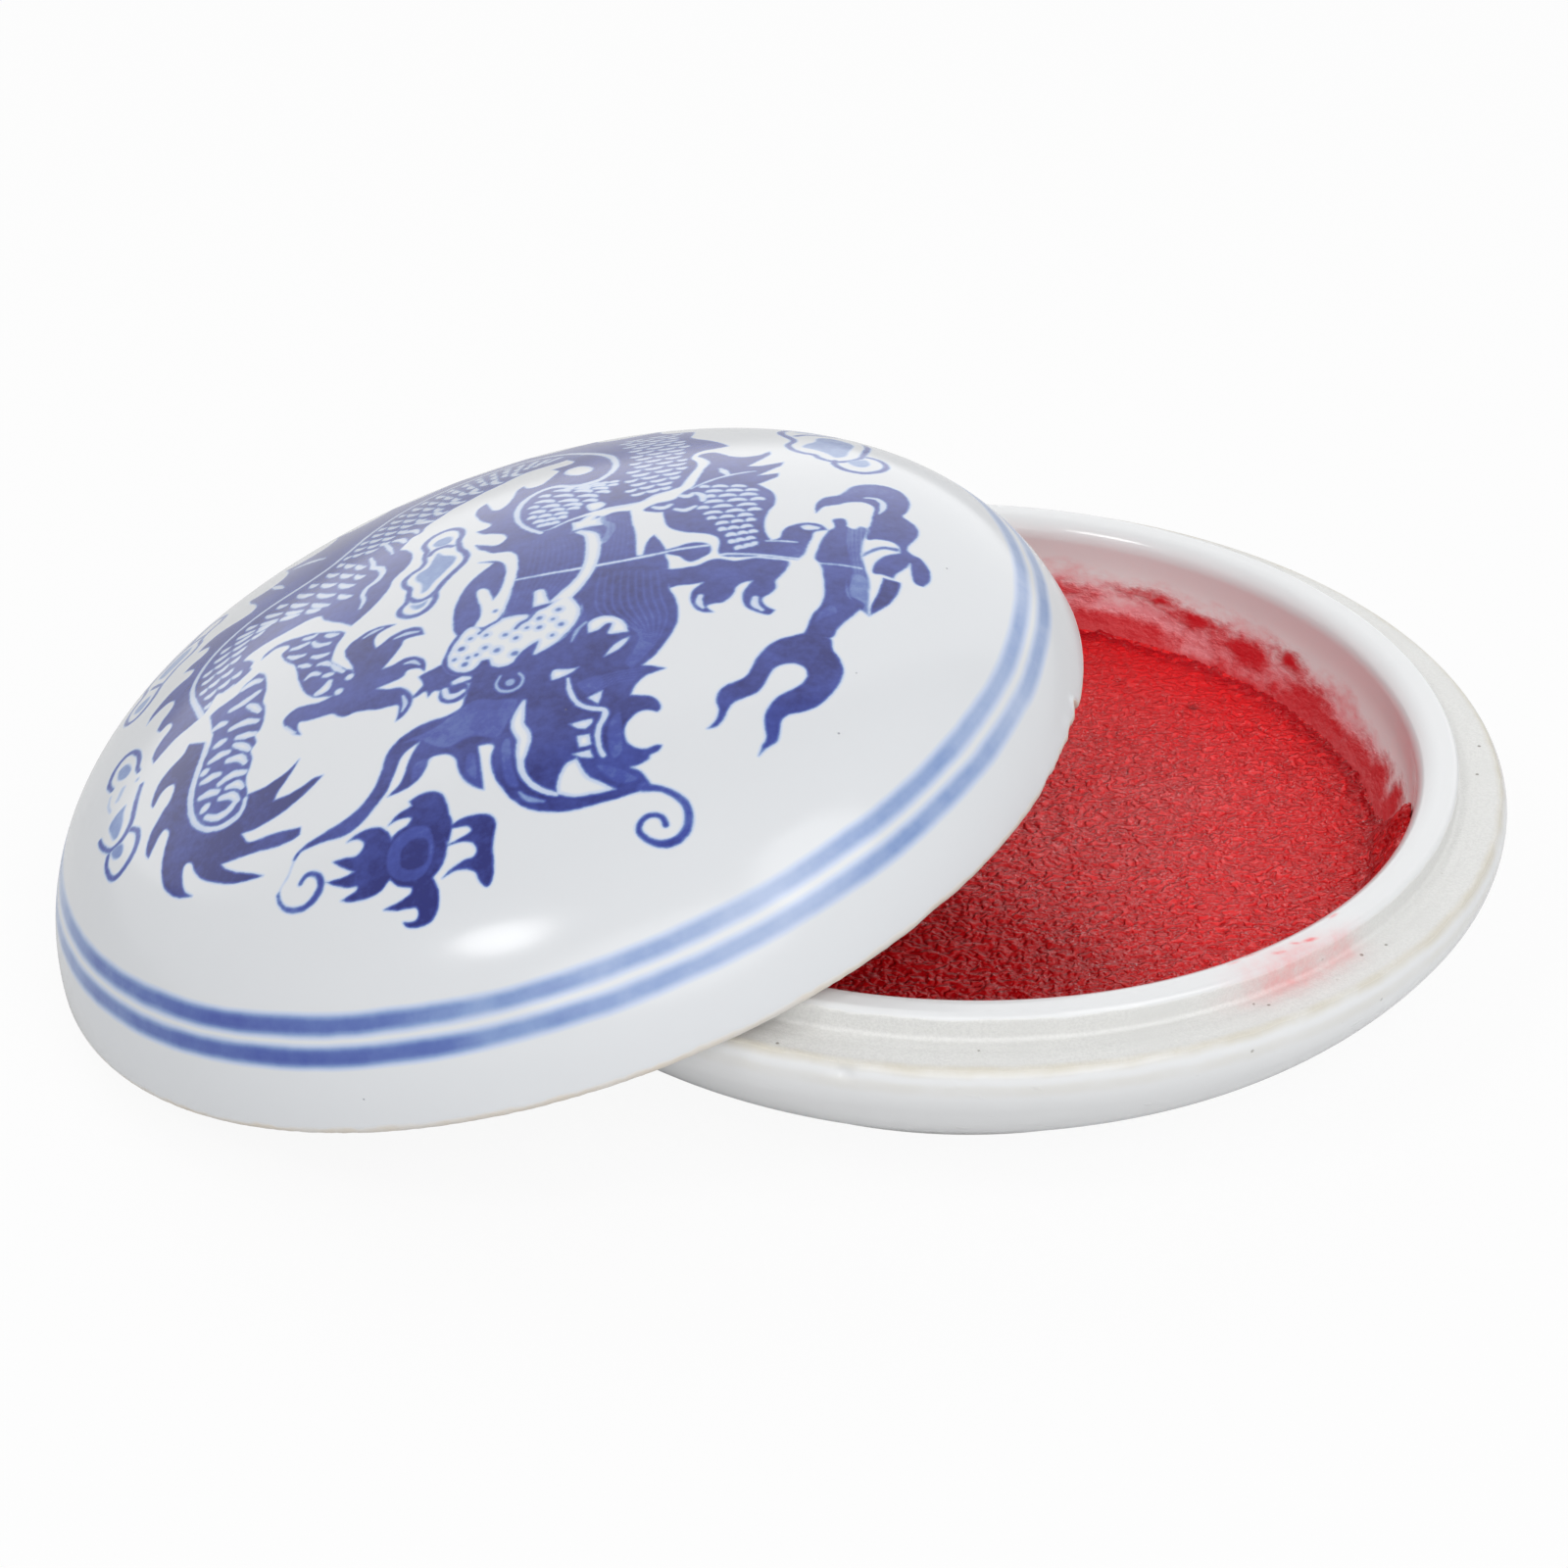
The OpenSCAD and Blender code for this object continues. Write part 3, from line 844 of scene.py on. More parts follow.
def paintTail(sheet):
    sheet.fill(
        "-26.4 -6.8 *, -27 -7.9, -28.2 -8.6, -29.2 -9.5, -29.7 -10.7, -29.9 -11.8, -29.7 -12.4 *,"
        "-29.3 -11.8, -28.9 -11.2, -28.3 -10.9, -27.7 -11.1, -27.5 -11.8, -27.9 -13, -28.6 -13.8,"
        "-29.1 -14.5, -29.7 -15.4, -30.1 -16.6, -30.2 -17.6, -29.9 -18.3 *, -29.5 -17.6, -29 -16.8,"
        "-28.4 -16.2, -28 -16.4, -27.8 -17, -28.1 -18.2, -28.4 -19.5, -28.5 -21, -28.3 -22.5, -27.6 -23.8,"
        "-26.7 -24.7, -25.5 -25.3 *, -26.2 -24.3, -26.4 -23, -26.3 -22, -25.9 -21.6, -25.4 -22,"
        "-25.2 -22.9, -24.6 -24, -23.6 -25, -22.2 -26, -20.6 -26.7, -18.8 -27.1 *, -20 -26.2, -21.2 -25.4,"
        "-22.2 -24.5, -22.6 -23.8 *, -21.6 -24, -20.4 -24.2, -19 -24.5, -17.6 -24.9, -16.2 -25,"
        "-15.4 -24.8 *, -15.3 -24.1 *, -16.4 -23.8, -18 -23.4, -19.6 -23.2, -20.2 -22.8, -20.6 -21.8 *,"
        "-19.4 -22, -18 -21.9, -16.5 -21.6, -15 -20.9, -14 -20.3, -13.2 -19.7 *, -14 -19.6, -15 -19.9,"
        "-16.2 -20.1, -17.6 -20 *, -17.2 -19.2, -16.4 -18.3, -15.8 -17.5, -15.3 -16.7 *, -16.2 -17.4,"
        "-17.4 -17.8, -18.6 -18, -20.1 -17.8 *, -20.6 -19, -22 -20, -23.8 -19.4, -25.4 -17.4, -25.7 -14,"
        "-25.2 -11.4, -24.5 -9.4, -24.6 -8.2, -25.4 -7.5", 1.0)
    sheet.fill(
        "-24.5 -4.4 *, -23.8 -4, -22.8 -3.8, -21.8 -3.5, -21.3 -2.7, -20.6 -2.3, -19.9 -1.9 *, -19.3 -2.7,"
        "-19 -4, -18.9 -5.5, -19.1 -6.8, -18.8 -7.8, -18.8 -9.4, -19.1 -10.6, -19.6 -11, -19.4 -12,"
        "-19.9 -12.8, -19.7 -13.8, -19.9 -14.8, -20.2 -15.6, -20.2 -16.6, -20.1 -17.6, -20.3 -18.6,"
        "-21 -19.3, -22.2 -19.6, -23.5 -19.2, -24.6 -18.2, -25.2 -16.8, -25.4 -15, -25.2 -13, -24.7 -11,"
        "-24.2 -9.2, -23.9 -7.8 *, -24.2 -6", 0.85)
    sheet.scratch(
        "-24.3 -7.6, -24.4 -8.6, -24.8 -10.2, -25.3 -11.8, -25.65 -13.4, -25.75 -15, -25.6 -16.4,"
        "-25.1 -17.8, -24.3 -18.9, -23.3 -19.6, -22.2 -19.95, -21.1 -19.75, -20.5 -19.1, -20.25 -18.2", 0.8,
        0.55, 0.5, 0.5, 0.45)
    for scale in (
            "-21.4 -3.2, -20.4 -3, -19.6 -3.4", "-22.3 -5.5, -21 -5.4, -19.6 -5",
            "-20.5 -6.3, -19.9 -7, -19.4 -7.9", "-22.1 -8.3, -20.6 -8.5, -19.5 -9.2",
            "-21.3 -10, -20.4 -10.4, -19.6 -10.8", "-21.5 -10.8, -20.7 -11.6, -20.1 -12.4",
            "-22.1 -12.4, -21 -12.8, -20.4 -13.8", "-22.8 -14.7, -21.6 -14.5, -20.4 -15",
            "-22 -15.7, -21.1 -15.9, -20.6 -16.6", "-22.7 -16.5, -21.6 -16.9, -21 -17.8",
            "-23.9 -6.9, -23.3 -6.8, -22.7 -7", "-23.5 -9.5, -22.6 -9.4",
            "-23.9 -11.2, -23 -11.1, -22.1 -11.3", "-24.6 -12.2, -24.2 -12.1",
            "-24.6 -13.3, -23.7 -13.3, -22.9 -13.5", "-24.7 -15.1, -23.8 -15.2, -23 -15.6",
            "-24.4 -16.8, -23.9 -16.5", "-24 -17.8, -23 -18.5, -22 -18.5, -21.2 -17.9"):
        sheet.scratch(scale, 0.55, 0.85, 0.55)


def paintBody(sheet):
    # the fin along the back, with its spikes, from the hind end over the arch
    sheet.fill(
        "-30.3 -6 *, -30.5 -5, -30.2 -3.8, -29.6 -2.9, -28.9 -2, -29 -1.2, -29.5 -1, -30.2 -1.4 *,"
        "-30.6 -0.6, -30.3 0.4, -29.8 1.1, -29.4 1.8, -29.3 2.7, -29.8 3.3, -30.6 3.3, -31.5 2.8,"
        "-32.3 2 *, -32 3.2, -31.2 4.4, -30.2 5.4, -29.3 5.9, -28.4 6.2, -28 6.9, -28.4 7.6, -29.3 8.1 *,"
        "-28.6 8.8, -27.6 9.2, -27.1 9.8, -27.1 10.6, -27.7 11.1, -28.5 11.4 *, -27.6 12.4, -26.5 13,"
        "-25.2 13, -23.9 12.9, -23 13.3, -22.8 14.2, -23.2 15.4, -24 16.8, -24.4 18.2 *, -22.8 18,"
        "-21.4 18.8, -20.9 20.2, -21.2 21.8, -21.9 23.6 *, -20 22.9, -18.2 23.5, -17.3 25, -17.2 26.8,"
        "-17.6 28.4 *, -15.6 27, -13.8 27.6, -12.8 29.2, -12.5 31.4 *, -10.6 29.8, -8.6 30.2, -7.2 31.8,"
        "-6.6 33.6 *, -4.6 31.8, -2.4 32, -0.8 33.4, 0 35.2 *, 1.4 32.8, 3.4 32.2, 5.2 33.2, 6.8 35 *,"
        "7.4 32.4, 9 31.2, 11 31.8, 13 33.2 *, 13.2 31, 14.4 29.6, 16.2 29.2, 16.4 27.4, 16.3 25.6,"
        "17 24.3, 18 23.2, 18.9 22, 19.5 21, 19.9 20.2 *, 18.9 19.6, 17.8 19.1, 17.1 18.2, 16.8 16.8,"
        "17.3 15.4, 17.4 14.2, 17 12.6, 16.6 11, 16.2 9.4, 15.4 8.8 *, 14 7.6, 12.4 6.6, 10.6 6.4, 9.4 6.6,"
        "8.2 6.2, 6.8 5.6, 5 4.6, 3.8 5.4, 2.7 7.2, 2.2 9, 2.2 11, 2.7 12.8, 3.8 14.2, 5 14.8, 6.4 14.2,"
        "7.6 13.6, 8.8 13.8, 9.8 14.8, 10.3 16.4, 10.4 18, 10.1 19.8, 9.5 21.6, 8.6 23.4, 7.2 25, 5.6 24,"
        "4.6 23.3, 3.2 22.9, 2 22.4, 1.2 21.7, 0.4 20.7, -0.6 19.7, -1.4 19.1, -2.3 18.1, -3.2 17.3,"
        "-4.2 16.4, -4.9 15.3, -5.6 14.6, -6.2 13.6, -6.4 12.6, -7.2 12.1, -7.6 11.2, -8 10.1, -7.4 9.4,"
        "-6.8 8.2, -6.6 6.8, -6.9 5.5, -7.6 4.5, -8.1 3.6, -8.3 2.4, -9 1, -10 -0.3, -11.3 -1.5 *,"
        "-12.3 -0.2, -13.3 0.8, -14.1 1.8, -14.6 2.9, -16 3.2, -18 3, -20 2.9, -21.2 2.6 *, -21.9 2,"
        "-21.2 1.3, -20.8 0.6, -21 0, -20.9 -0.6, -21.6 -1.2, -22.6 -1.7, -23.4 -1.8, -24.2 -1.5,"
        "-24.9 -3 *, -25.5 -3.6, -26.6 -4, -28 -4.4, -29.2 -5.2", 0.85)
    sheet.scratch(
        "-25.3 -4, -25.7 -3, -26.2 -1.6, -26.8 0, -27.2 1.6, -27.3 3.2, -27 5, -26.4 6.6, -25.5 8,"
        "-24.3 9.2, -22.8 10.3, -21.2 11.1, -19.5 11.7, -18 12.2, -16.5 12.9, -15.2 13.9, -14.2 15.3,"
        "-13.3 17, -12.5 18.8, -11.6 20.5, -10.7 22.2, -9.6 23.8, -8.3 25.2, -6.8 26.4, -5 27.5, -3 28.5,"
        "-1 29.2, 1 29.4, 2.8 29, 4.2 28.1, 5.4 27, 6.5 25.7, 7.6 24.4, 8.7 22.9, 9.6 21.2, 10.1 19.4,"
        "10.3 17.6, 10.1 15.9, 9.5 14.5, 8.8 13.7, 7.7 13.35, 6.6 13.7, 5.7 14.35, 4.8 14.55, 3.8 14,"
        "3 12.9, 2.5 11.5, 2.35 10, 2.5 8.4, 2.9 7, 3.6 5.7, 4.7 4.3", 0.7, 0.5, 0.5, 0.5, 0.5, 0.6, 0.6,
        0.55, 0.5, 0.4)
    sheet.scratch(
        "-10.9 11, -10.5 9.6, -10.3 8.3, -9.5 7.4, -9.2 6.2, -9.6 5.1, -10.4 4.4, -10.7 3.3, -10.5 2.2,"
        "-10.7 1", 0.3, 0.6, 0.6, 0.5, 0.3)
    sheet.scratch("-20.4 21.4, -18.6 20.2, -16.6 18.3", 0.3, 0.7, 0.3)
    sheet.scratch("-22 18.2, -21 16.6, -20.2 15.2", 0.3, 0.7, 0.2)
    scaleRows(
        sheet, "-25.4 -2.4, -26.3 0.4, -26.6 3.2, -25.6 6.4, -23.4 8.8, -20 10.6, -16.6 11.8, -14.4 13.6",
        "-22 -1.4, -21.8 0.6, -22.6 2.4, -21.2 5, -18.4 6.6, -15.4 4.4, -11.6 3.4, -10.6 8.6", 15, 3, 0.5,
        0.66)
    scaleRows(
        sheet, "-14 14.6, -12.6 17.6, -10.6 21.4, -8 24.6, -4.6 26.8, -1 28.4, 2.4 27.8, 4.8 26.2",
        "-10 12.6, -8.2 14.4, -5.6 16.6, -3.4 19.2, -1.4 21, 0.6 22.8, 2 23.8, 3.4 24.6", 19, 3, 0.5, 0.62)
    # plates along the belly
    for plate in (
            "-9 13.2, -8.2 12.6, -7.8 11.6", "-8.4 14.6, -7.2 13.9, -6.8 12.9",
            "-7.4 16.2, -6.2 15.2, -5.7 14.9", "-5.8 17.6, -5.2 16.4, -4.6 16.4",
            "-4.6 19.4, -3.8 18.2, -3.2 18", "-3 21, -2.4 19.8, -1.8 19.6", "-1.2 22.4, -0.6 21.2, -0.2 21",
            "0.6 23.4, 1 22.4, 1.4 22.4"):
        sheet.scratch(plate, 0.4, 0.75, 0.4)
    sheet.scratch("-9.9 13.4, -9.2 11.6, -8.7 9.8", 0.3, 0.45, 0.2)
    # scales down to the shoulder, on the far side of the arch
    scaleRows(
        sheet, "15.6 28.8, 15.4 26, 16.6 22.4, 16.3 18.6, 16.9 15.4, 16.2 12, 15.4 9.6",
        "9.4 28, 10 25, 11 21.6, 11.3 18, 11.2 14.6, 11.2 11.4, 11.6 8.6", 17, 3, -0.45, 0.62)
    scaleRows(
        sheet, "8.4 13, 6.4 13.2, 4.9 13.8, 3.7 12.8, 3.1 11, 3.1 9, 3.5 7.2, 4.4 5.6",
        "11 12.6, 10.6 10.8, 10.2 9.4, 9.6 8.6, 8.4 8, 7.6 7.4, 7 6.6, 6.4 5.6", 11, 3, 0.45, 0.62)


def paintNeck(sheet):
    # fin on the throat side of the neck, the hair behind the head, and the head itself
    sheet.fill(
        "9.9 20, 9 22.4, 7.2 24.6, 5.6 24, 5.9 23, 6.3 22.2, 6 21.4, 5.2 21, 4.4 20.8 *, 4.9 20.2,"
        "5.2 19.4, 4.9 18.4, 4.5 17.2, 4 16.2, 3.2 15.9, 2.6 16.3, 2.3 17.1 *, 1.8 16.2, 1.7 15, 1.5 13.6,"
        "1.1 12.5, 0.6 12, 0 12.4, -0.4 13.6, -0.8 14.8 *, -1.4 13.8, -1.5 12.6, -1.2 11.4, -0.7 10.2,"
        "-0.1 9.4, 0.2 8.7, -0.2 8.2, -1 8.1 *, -0.4 7.2, 0.6 6.6, 1.4 6, 1.8 5.2, 1.7 4.6, 1.2 4.1,"
        "0.6 4.2, 0 4.7, -0.9 5.3 *, -0.5 4.2, 0.1 3.5, 0.7 2.8, 1.5 2.5, 2.3 2.1, 2.8 1.3, 3 0.2, 3 -1.6,"
        "2.8 -3, 2.4 -5, 2 -6.6, 1.8 -8, 4 -9, 8.2 -9, 9 -6, 15.2 -5.4 *, 15.2 -4.4, 15 -3.4, 15 -2.4,"
        "14.6 -1, 14.1 0.3 *, 13.7 -0.4, 13.4 -1.4, 13.2 -2.8 *, 12.7 -2.8 *, 12.65 -1, 12.6 1, 12.3 3,"
        "12.1 5.4 *, 10.8 5.6, 9.8 5.2, 8.6 5.8, 7 5.4, 5 4.6, 2.8 7, 2.2 10, 2.8 13, 5 14.9, 7.6 13.8,"
        "9.8 15, 10.4 17.6", 0.85)
    sheet.bare("6.9 19.8, 7.7 19.2, 8.3 18, 8.1 17, 7.3 16.6, 6.4 17.1, 5.8 18.2, 5.9 19.3")
    sheet.scratch(
        "6.5 25.7, 7.6 24.4, 8.7 22.9, 9.6 21.2, 10.1 19.4, 10.3 17.6, 10.1 15.9, 9.5 14.5, 8.8 13.7,"
        "7.7 13.35, 6.6 13.7, 5.7 14.35, 4.8 14.55, 3.8 14, 3 12.9, 2.5 11.5, 2.35 10, 2.5 8.4, 2.9 7,"
        "3.6 5.7, 4.7 4.3", 0.65, 0.6, 0.6, 0.5, 0.4)
    # bare band under the chest scales
    sheet.scratch(
        "8.3 4.4, 9 5.6, 10 6.4, 11.6 6.5, 13.2 6.7, 14.6 7.9, 16.2 8.5, 17.2 8.9", 1.3, 0.8, 0.7, 0.8, 1.1,
        0.9, 0.4)
    sheet.bare("7.3 5 *, 9.7 5 *, 9.8 3.5 *, 8.8 3.6, 7.4 3.4 *")
    sheet.bare("8.4 8.2, 9.4 8.4, 10 7.6, 9.4 6.8, 8.7 6.8")
    sheet.bare("12.3 5.2 *, 13.6 5, 14.8 4.2 *, 14.9 2, 14.9 -0.4, 14.2 1.2, 12.9 -1, 12.8 2")
    sheet.stroke("9.8 5, 9.9 4, 10.6 3, 10.4 1.6, 10 0.4", 0.3, 0.5, 0.3, tone=0.5)


def paintMane(sheet):
    sheet.fill(
        "9 -4 *, 15.2 -5.4, 15.2 -8.1, 15.6 -9.5, 15.8 -11, 15.7 -12.5, 15.3 -13.8, 14.6 -15.2, 13.8 -16.4,"
        "12.8 -17.4 *, 13.5 -17.6, 14.5 -18.1 *, 13.6 -18.4, 12.9 -18.7, 12.2 -19.4, 11.7 -20.5 *,"
        "12.5 -20.7, 13.3 -21, 13.8 -21.7, 13.9 -22.3, 13.6 -22.7 *, 13 -22.4, 12.3 -22.4, 11.6 -22.9,"
        "11.1 -23.6, 11 -24.6, 11.2 -25.4, 11.8 -26, 12.5 -26.2, 13.3 -26, 13.7 -26.1 *, 13.4 -26.6,"
        "12.8 -26.9, 12.6 -27.3, 12 -27.6, 11.2 -27.8 *, 11.9 -28.3, 12.3 -29, 12.5 -30, 11 -30.3, 9 -30.6,"
        "6.5 -30.8, 4.5 -30.4, 3.1 -29.7, 2 -28.5, 1.2 -27, 0.7 -25.5, 0.6 -24, 0.9 -22.9, 0.5 -22.5,"
        "-0.3 -22.4 *, -0.2 -24.2, -0.15 -25.6, -0.1 -26.9 *, -0.9 -26.3, -1.6 -25.4, -2 -24.2, -2.2 -23,"
        "-2.8 -22.3, -3.6 -22.1, -4.2 -22.2, -4.6 -23.1, -5.3 -24, -6.5 -24.5, -7.8 -24.6 *, -6.8 -23.8,"
        "-6.3 -22.8, -5.8 -21.4, -5 -20.1 *, -5.9 -20.5, -6.6 -21.2, -7.1 -22.4, -7.8 -23.9, -8.8 -25.1,"
        "-10.2 -26.3, -11.6 -26.8, -13 -26.6, -14.4 -26.5, -15.4 -26.6, -16.1 -27.4 *, -16 -26.8,"
        "-15 -26.1, -13.4 -25.7, -11.6 -25.3, -10.2 -24.6, -9 -23.4, -8.3 -22, -7.9 -20.6, -7.3 -19.6,"
        "-6 -18.7, -4.4 -18.2, -2.8 -18.2, -1.6 -17.8, -1.2 -16.9, -0.9 -15.6, 0 -14.2, 2 -14.2, 4.4 -13.6,"
        "6.4 -12.8, 7.6 -11.4, 8.3 -9.4, 8 -7.6, 7.4 -7.2, 8.2 -6", 0.92)
    comb(
        sheet, "9.6 -4.4, 9.2 -7, 9.4 -10.2, 12.6 -13.6, 11.4 -16.8",
        "14.6 -5.6, 14.8 -9, 15.2 -12, 14 -15, 12 -17.6", 9, 0.16, 0.62)
    comb(sheet, "4 3.4, 3.8 0, 3.4 -3, 2.6 -7", "7.4 2.4, 8 0, 7.6 -4, 5.4 -7.4", 9, 0.12, 0.68)
    comb(sheet, "10.3 4.8, 10.4 2, 10.1 -1, 9.6 -4", "12 4.6, 12.2 2, 12.2 -1, 12 -3.4", 5, 0.12, 0.68)
    comb(
        sheet, "7.8 -18, 9.4 -17.8, 11 -17.6, 13 -17.6", "8.6 -20.4, 9.6 -19.4, 11 -19, 12 -19", 5, 0.16,
        0.66)


def paintHead(sheet):
    # mid-blue of the face and the lips
    for patch, tone in (
            ("-6.4 -19.6, -3.6 -19, -0.6 -17.4, 1.4 -18, 3 -18.6, 2.2 -20.6, 1.2 -22, -0.8 -21.2, -3 -21.6,"
             "-5 -19.9", 0.68),
            ("1.5 -23, 2.2 -22.6, 2.2 -25, 2.6 -27.4, 1.6 -26.6", 0.7),
            ("9.8 -23.4, 10.8 -22.2, 10.7 -26, 9.8 -26.4", 0.72),
            ("8.6 -27, 10.2 -27.6, 11.6 -29, 10 -29", 0.72),
            ("7.7 -18.2, 9.4 -17.8, 9.6 -19, 8.4 -19.6", 0.72),
            ("-3.9 -22.2, -4.6 -23, -5.8 -24, -5.4 -22.2", 0.75),
            ("-1.2 -23, -1.4 -24.6, -0.6 -25.6, -0.6 -23.2", 0.75)):
        sheet.shade(patch, tone)
    # horns and the bare notches beside them
    sheet.scratch(
        "-0.2 2.1, 1 2, 1.9 1.2, 2.4 0, 2.45 -1.8, 2.2 -3.6, 1.8 -5.4, 1.2 -7.2", 0.35, 0.9, 1, 1, 1.1, 1.1,
        1.3, 1.6)
    sheet.scratch(
        "7.9 3, 8.9 2, 9.2 0, 9.1 -2, 8.7 -4, 7.9 -5.7, 6.8 -7.2, 6 -8.6", 0.5, 1.2, 1.25, 1.2, 1.15, 1.2,
        1.5, 1.8)
    sheet.scratch("4.9 -5.7, 5 -7, 5.2 -8.4", 0.9, 1.2, 1.6)
    sheet.stroke("7.4 3.1, 8.3 3.3, 9.3 2.7, 9.8 1.6", 0.3, 0.3, 0.2, tone=0.7)
    sheet.fill(
        "-0.4 1.7 *, 0.3 1.5, 1 1.2, 1.6 0.6, 2 -0.4, 2 -2, 1.7 -3.8, 1.1 -5.1 *, 0.9 -4.2, 0.6 -3.3,"
        "0.1 -2.9, -0.3 -3.2, -0.2 -4.4, 0.1 -5.6, 0.1 -6.8, -0.2 -7.8, -0.8 -8.6, -1.6 -9, -2.1 -8,"
        "-2.2 -6.4, -2.1 -4.6, -1.7 -3, -1.1 -1.5, -0.3 -0.4, 0.6 0.5, 0.9 0.9 *", 0.85)
    # spotted forehead
    sheet.fill(
        "-2.1 -9.2, -2.7 -10.6, -3.05 -12, -2.6 -13.3, -1.6 -14.1, -0.3 -14.3, 2 -14.6, 4.8 -14, 8.2 -11,"
        "8.3 -9, 7.8 -7.6, 4.6 -7.6, 2.2 -7.8, 0.4 -8.6, -1 -8", 0.85)
    sheet.bare(
        "-1.7 -9.2, -2.3 -10.4, -2.6 -11.9, -2.2 -13, -1.3 -13.7, -0.4 -13.7, 0.2 -12.9 *, 0.8 -13,"
        "1 -13.8, 1.8 -14.3, 2.7 -14.1, 3.2 -13.3, 3.9 -12.7 *, 4.8 -12.2, 4.6 -13, 4.4 -13.8, 5.3 -13.5,"
        "6.4 -12.7, 7.4 -11.5, 8 -10.4, 8.15 -9.2, 7.8 -8, 7 -6.6, 5.8 -7.8, 4.6 -8.4, 3.8 -9.2 *, 4 -8.5,"
        "3.2 -8.2, 2.2 -8.1, 1.2 -8.4, 0.2 -9.1 *, -0.1 -8.4, -0.9 -8.2")
    sheet.stroke("0 -9.3, 0.7 -8.7, 1.6 -8.2, 2 -7.4", 0.3, 0.35, 0.3, tone=0.8)
    sheet.stroke("3 -9.9, 3.4 -9.4, 4 -9.1, 4.6 -8.2", 0.35, 0.4, 0.3, tone=0.8)
    for u, v, radius in (
            (-0.7, -9.7, 0.24), (-1.4, -10.7, 0.32), (-2, -11.8, 0.24), (-1.15, -12.8, 0.3),
            (-0.9, -12.05, 0.22), (-0.2, -12, 0.22), (0.5, -11.4, 0.28), (0.6, -9.8, 0.24),
            (1.45, -12.1, 0.32), (2.15, -10.4, 0.26), (3, -11.2, 0.28), (2.9, -13.1, 0.34),
            (1.3, -6.8, 0.22), (4.9, -9.3, 0.28), (4.9, -10.5, 0.26), (6.45, -8.7, 0.28),
            (6.65, -10.7, 0.28), (5.9, -11.9, 0.22), (3.9, -10.2, 0.2), (6, -9.8, 0.2)):
        sheet.lay(sheet.spot(u, v, radius), 0.6)
    # nose and its curl
    sheet.fill(
        "-5 -12.5 *, -4 -12.2, -3 -12, -2.5 -13.2, -1.4 -14, 0.2 -14.2, 0 -15.4, -1.4 -15, -2.2 -14.4,"
        "-2.4 -15, -3.1 -15.1, -3.7 -14.9, -4.2 -15.4 *, -4.4 -14.6, -5.2 -14.9, -5.8 -15 *, -5 -14.2,"
        "-4.6 -13.6", 0.9)
    sheet.lay(sheet.spot(-2.1, -15.7, 1.25), 0.85)
    sheet.scratch("-2.8 -15.2, -2.6 -16, -1.9 -16.2, -1.3 -15.9", 0.5, 0.6, 0.4)
    sheet.scratch("-2 -14.6, -1.4 -14.5, -0.8 -14.6", 0.5, 0.7, 0.4)
    sheet.stroke("-2.1 -15, -1.9 -15.4, -1.3 -15.5", 0.3, 0.3, 0.2, tone=0.8)
    # eye
    sheet.trace(
        "1.7 -15.4, 1.35 -16.2, 1.6 -17, 2.4 -17.4, 3.2 -17.1, 3.5 -16.3, 3.2 -15.6", 0.3, 0.42, 0.3,
        tone=0.3)
    sheet.tint(sheet.spot(2.45, -16.4, 0.42), 0.34)
    # ear, brow and cheek
    sheet.bare(
        "8.75 -12.5 *, 8.8 -11.3, 9.6 -10.7, 10.7 -10.9, 11.6 -11.9, 11.9 -13.2 *, 10.9 -13.15, 10.3 -13,"
        "10.5 -12.3, 10.6 -11.8, 10.1 -11.8, 9.6 -12.3")
    sheet.bare("9.9 -15.7 *, 10.3 -15, 11.1 -14.2, 11.9 -13.8 *, 11.6 -14.5, 10.9 -15.2")
    sheet.trace("8.6 -11.1, 7.9 -11.9, 7.4 -13.2", 0.3, 0.45, 0.2, tone=0.35)
    sheet.bare("5.7 -17.2, 5.9 -16.2, 7 -16.4, 7.9 -16.4 *, 7.2 -16.9, 6.3 -17.2")
    sheet.scratch(
        "7 -17.5, 7.05 -18.6, 7.3 -19.7, 7.8 -20.6, 8.6 -21.2, 9.6 -21.6, 9.6 -22.3, 9.15 -23.2,"
        "8.95 -24.2, 9 -25.4, 9.25 -26.2", 0.3, 0.42, 0.42, 0.5, 0.45, 0.4)
    sheet.bare("8.4 -20 *, 9.6 -19.5 *, 9.2 -20.9 *")
    # mouth, gums and teeth
    sheet.scratch(
        "3.5 -18.9, 3.1 -20, 2.9 -21.4, 3.3 -22.8, 3 -24.4, 2.9 -25.8, 3.4 -27.2, 4.3 -28.3, 5.4 -29", 0.3,
        1, 1.2, 1.1, 0.6, 0.5, 0.5, 0.35)
    sheet.bare(
        "5.5 -29 *, 5.5 -28, 5.9 -27, 6.4 -26.3, 7.2 -26 *, 7.5 -26.8, 7.8 -27.7, 8.5 -28.4, 9.9 -29.6 *,"
        "8.4 -29.7, 6.8 -29.6")
    sheet.bare("6.8 -22.4 *, 8.6 -22.3 *, 8.6 -22.7, 8.1 -23.2 *, 7.5 -23")
    sheet.bare("7.4 -23.8 *, 8.3 -23.8 *, 8.4 -24.9 *, 7.4 -25 *")
    sheet.bare("6.9 -25.5 *, 8.3 -25.4 *, 8.4 -26.2 *, 7.6 -26 *")
    sheet.trace("2.6 -28, 3.2 -28.8, 4.4 -29.4", 0.3, 0.6, 0.3, tone=0.4)
